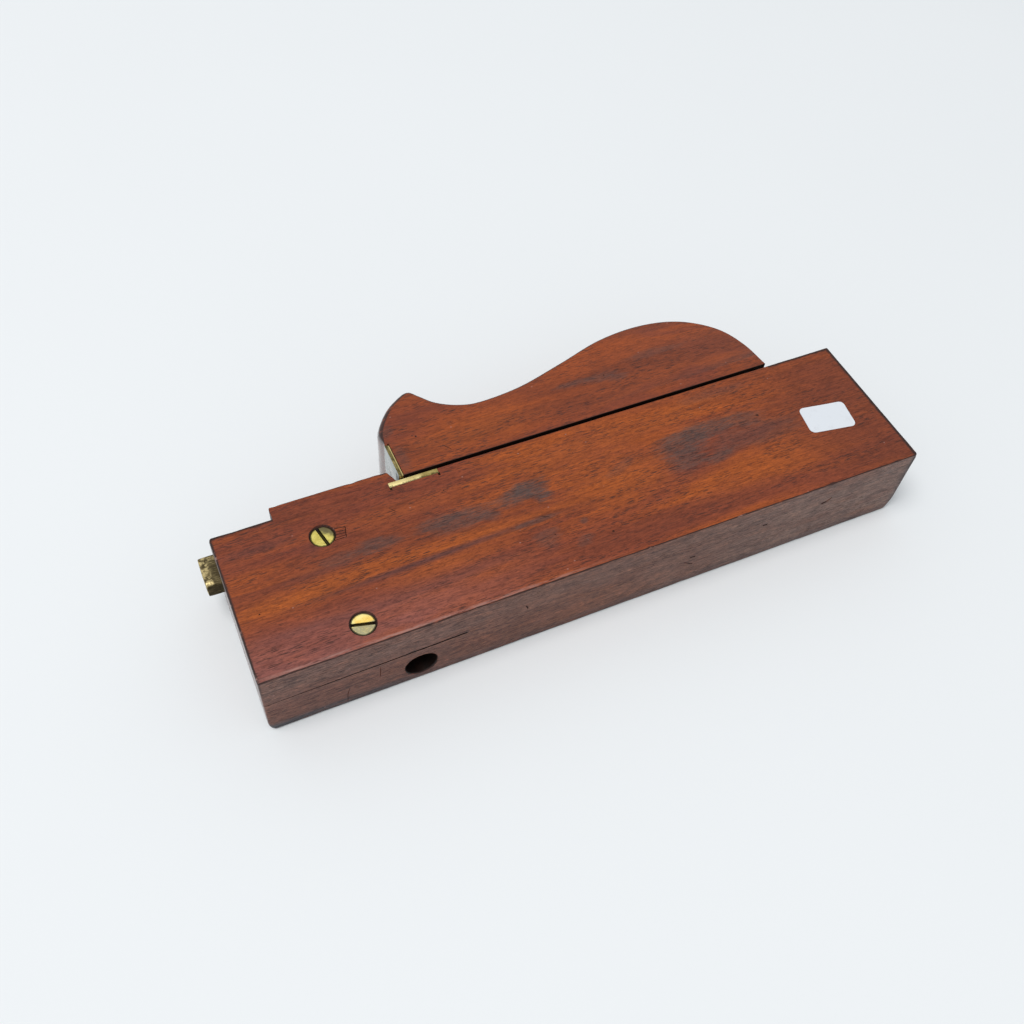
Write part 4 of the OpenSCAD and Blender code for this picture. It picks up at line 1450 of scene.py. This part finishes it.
# %% Turn the clamp screws
PITCH = 1.8
HEAD_RIM = 0.3
CONE_END = HEAD_RIM + HEAD_R - SHANK_R
CORE_R = 0.7 * SHANK_R
PLAIN_END = THICK - KERF_LEFT_Z - 0.5
SCREW_SIDES = 56
ROW_HEIGHT = 0.22
THREAD_FLANK = 0.3
EDGE_BREAK = 0.08
SLOT_HALF, SLOT_DEEP = 0.15 * HEAD_R, 0.32 * HEAD_R


def thread_height(depth, angle):
    """0 in the valley and 1 on the crest of the thread."""
    phase = (depth / PITCH + angle / (2 * math.pi)) % 1.0
    return max(0.0, 1 - abs(phase - 0.5) / THREAD_FLANK)


def screw_radius(depth, angle):
    """Radius of the screw at a depth below its head's face, in mm."""
    if depth < HEAD_RIM:
        return HEAD_R
    if depth < CONE_END:
        return HEAD_R - (depth - HEAD_RIM)
    if depth < PLAIN_END:
        return SHANK_R
    fade = min(1.0, (depth - PLAIN_END) / PITCH)
    base = SHANK_R + (CORE_R - SHANK_R) * fade
    tip = min(1.0, max(0.0, (SCREW_L - depth) / (1.5 * SHANK_R)))
    return max(0.05, (base + (SHANK_R - CORE_R) * thread_height(depth, angle) * fade) * tip)


def clamp_screw(side, slot_angle, alloy):
    """One screw with its slot sawn across the head at that angle."""
    x, y, z = clamp_places[side]
    angles = round_angles(SCREW_SIDES)
    face_radii = [HEAD_R * 0.35, HEAD_R * 0.7, HEAD_R * 0.9, HEAD_R - EDGE_BREAK]
    rows = [(0.0, [radius] * SCREW_SIDES) for radius in face_radii]
    count = int((SCREW_L - PLAIN_END) / ROW_HEIGHT)
    depths = [0.05, HEAD_RIM, CONE_END, PLAIN_END]
    depths += [PLAIN_END + (SCREW_L - PLAIN_END) * (i + 1) / count for i in range(count)]
    rows += [(depth, [screw_radius(depth, angle) for angle in angles]) for depth in depths]
    body = skin("screw_body", [
        [joiner(x + radius * math.cos(angle), y + radius * math.sin(angle), z - depth)
         for angle, radius in zip(angles, radii)]
        for depth, radii in rows
    ])
    run = Vector((math.cos(math.radians(slot_angle)), math.sin(math.radians(slot_angle))))
    across = Vector((-run.y, run.x))
    corners = [run * (HEAD_R + 1) * a + across * SLOT_HALF * b for a, b in oblong(-1, 1, -1, 1)]
    slot_cut = prism([(x + c.x, y + c.y) for c in corners], z - SLOT_DEEP, z + 1)
    screw = finished(f"clamp_screw_{side}_turned", carve(body, [slot_cut]), alloy)
    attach(screw, f"{side}_screw")
    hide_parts(f"clamp_screw_{side}")
    return screw


clamp_screws = [
    clamp_screw("far", -77.8, far_screw_brass), clamp_screw("near", -14.4, near_screw_brass),
]
print("screws:", [len(s.data.polygons) for s in clamp_screws], "faces")

# %% [markdown]
# ## The paper label
# A dealer's label is thin paper with rounded corners, pressed down by a thumb. It is a grid
# whose border is pulled in to the rounded outline. One corner lifts by a sixth of a millimetre.

# %% Label
LABEL_L, LABEL_W, LABEL_R, LABEL_T = 18.2, 12.0, 2.0, 0.12
LABEL_X, LABEL_Y = 219.8, 25.4
LABEL_ANGLE = math.radians(-8.9)
LABEL_CURL_FROM, LABEL_WAVE = 0.6, 0.02


def label_point(u, v, lift):
    """A point of the label, u and v from -1 to 1."""
    x, y = u * LABEL_L / 2, v * LABEL_W / 2
    straight_x, straight_y = LABEL_L / 2 - LABEL_R, LABEL_W / 2 - LABEL_R
    over_x, over_y = abs(x) - straight_x, abs(y) - straight_y
    reach = math.hypot(over_x, over_y)
    if over_x > 0 and over_y > 0 and reach > LABEL_R:
        x = math.copysign(straight_x + over_x * LABEL_R / reach, x)
        y = math.copysign(straight_y + over_y * LABEL_R / reach, y)
    curl = max(0.0, (u + v) / 2 - LABEL_CURL_FROM) ** 2
    wave = LABEL_WAVE * (1 + noise.noise(Vector((x / 4, y / 4, 1))))
    c, s = math.cos(LABEL_ANGLE), math.sin(LABEL_ANGLE)
    return joiner(
        LABEL_X + x * c - y * s, LABEL_Y + x * s + y * c, THICK + lift + curl + wave)


def label_mesh(columns=36, rows=24):
    """The label's lower and upper sheet, joined round the rim."""
    bm = bmesh.new()
    sheets = [
        [[bm.verts.new(label_point(2 * i / columns - 1, 2 * j / rows - 1, lift))
          for i in range(columns + 1)] for j in range(rows + 1)]
        for lift in (0.0, LABEL_T)
    ]
    for sheet in sheets:
        for j in range(rows):
            for i in range(columns):
                bm.faces.new((sheet[j][i], sheet[j][i + 1], sheet[j + 1][i + 1], sheet[j + 1][i]))
    rim = [(0, i) for i in range(columns)] + [(j, columns) for j in range(rows)]
    rim += [(rows, i) for i in range(columns, 0, -1)] + [(j, 0) for j in range(rows, 0, -1)]
    for (a, b), (c, d) in zip(rim, rim[1:] + rim[:1]):
        bm.faces.new((sheets[0][a][b], sheets[0][c][d], sheets[1][c][d], sheets[1][a][b]))
    bmesh.ops.remove_doubles(bm, verts=bm.verts, dist=1e-7)
    return mesh_of(bm, "label")


label = finished("label_paper_sheet", label_mesh(), paper)
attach(label, "stock")
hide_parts("price_label")
print("label:", len(label.data.polygons), "faces")

# %% [markdown]
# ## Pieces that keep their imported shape
# The fence strip, the knife and the screws and pins deep in the wood are hardly seen or not at
# all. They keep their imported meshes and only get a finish.

# %% Finish the hidden pieces
hidden_finishes = {
    "fence_strip": strip_brass, "knife": knife_steel, "knife_screw": screw_iron,
    "mouth_plate_pins": pin_brass, "nose_plate_screws": pin_brass,
    "handle_screws": screw_iron, "handle_plugs": plug_wood,
}
for name, finish in hidden_finishes.items():
    for holder in frame["nodes"][name].material_slots:
        holder.material = finish
print("packed pieces finished:", len(hidden_finishes))

# %% [markdown]
# ## Table, light and air
# The tool lies on a pale table. A large soft light stands to the left, in front and above, as
# the shadow of the head on the nose plate shows. The sky gives the rest, at a level where a
# colour comes out about as it is written. Low down, the eye and every shiny surface see a pale
# wall there, which gives no light of its own.

# %% Floor and lights
FLOOR_SIZE = 6.0
FLOOR_DROP = 0.0002
PALE = (0.82, 0.845, 0.86)
LIGHT_DIRECTION = Vector((-2.0, -0.5, 5.5)).normalized()
LIGHT_DISTANCE = 4.0
LAMP_SIZE, LAMP_POWER = 2.1, 103.0
SKY_STRENGTH = 0.53
WALL_TOP, WALL_FADE = 0.45, 0.2

table = Finish("pale_table")
tone = table.cloud((3, 3, 3), detail=2)
table.set(
    Base_Color=table.mix(tone, (0.79, 0.815, 0.83), PALE), Roughness=0.9, Specular_IOR_Level=0.1,
)
floor_bm = bmesh.new()
bmesh.ops.create_grid(floor_bm, x_segments=4, y_segments=4, size=FLOOR_SIZE / 2)
floor = finished("table", mesh_of(floor_bm, "table"), table.material)
floor.location.z = -FLOOR_DROP

lamp_data = bpy.data.lights.new("window_light", "AREA")
lamp_data.shape = "DISK"
lamp_data.size = LAMP_SIZE
lamp_data.energy = LAMP_POWER
lamp_data.color = (1.0, 0.985, 0.97)
lamp = bpy.data.objects.new("window_light", lamp_data)
lamp.location = LIGHT_DIRECTION * LIGHT_DISTANCE
lamp.rotation_mode = "QUATERNION"
lamp.rotation_quaternion = LIGHT_DIRECTION.to_track_quat("Z", "Y")
bpy.context.scene.collection.objects.link(lamp)

sky = bpy.data.worlds.new("soft_room")
room = Nodes(sky)
sky_light = room.nodes["Background"]
room.put((0.93, 0.965, 1.0, 1.0), sky_light.inputs["Color"])
room.put(SKY_STRENGTH, sky_light.inputs["Strength"])
wall = room.node("ShaderNodeBackground", {"Color": (*PALE, 1.0), "Strength": 1.0})
direction = room.node("ShaderNodeTexCoord").outputs["Generated"]
low_down = room.soft_step(room.parts(direction)[2], WALL_TOP, WALL_FADE)
ray = room.node("ShaderNodeLightPath").outputs
looked_at = room.most(ray["Is Camera Ray"], ray["Is Glossy Ray"], ray["Is Transmission Ray"])
chooser = room.node("ShaderNodeMixShader", {
    0: room.times(looked_at, low_down), 1: sky_light.outputs[0], 2: wall.outputs[0],
})
room.put(chooser.outputs[0], room.nodes["World Output"].inputs["Surface"])
bpy.context.scene.world = sky
bpy.context.scene.view_settings.view_transform = "Standard"
print("light from", tuple(round(c, 2) for c in LIGHT_DIRECTION))
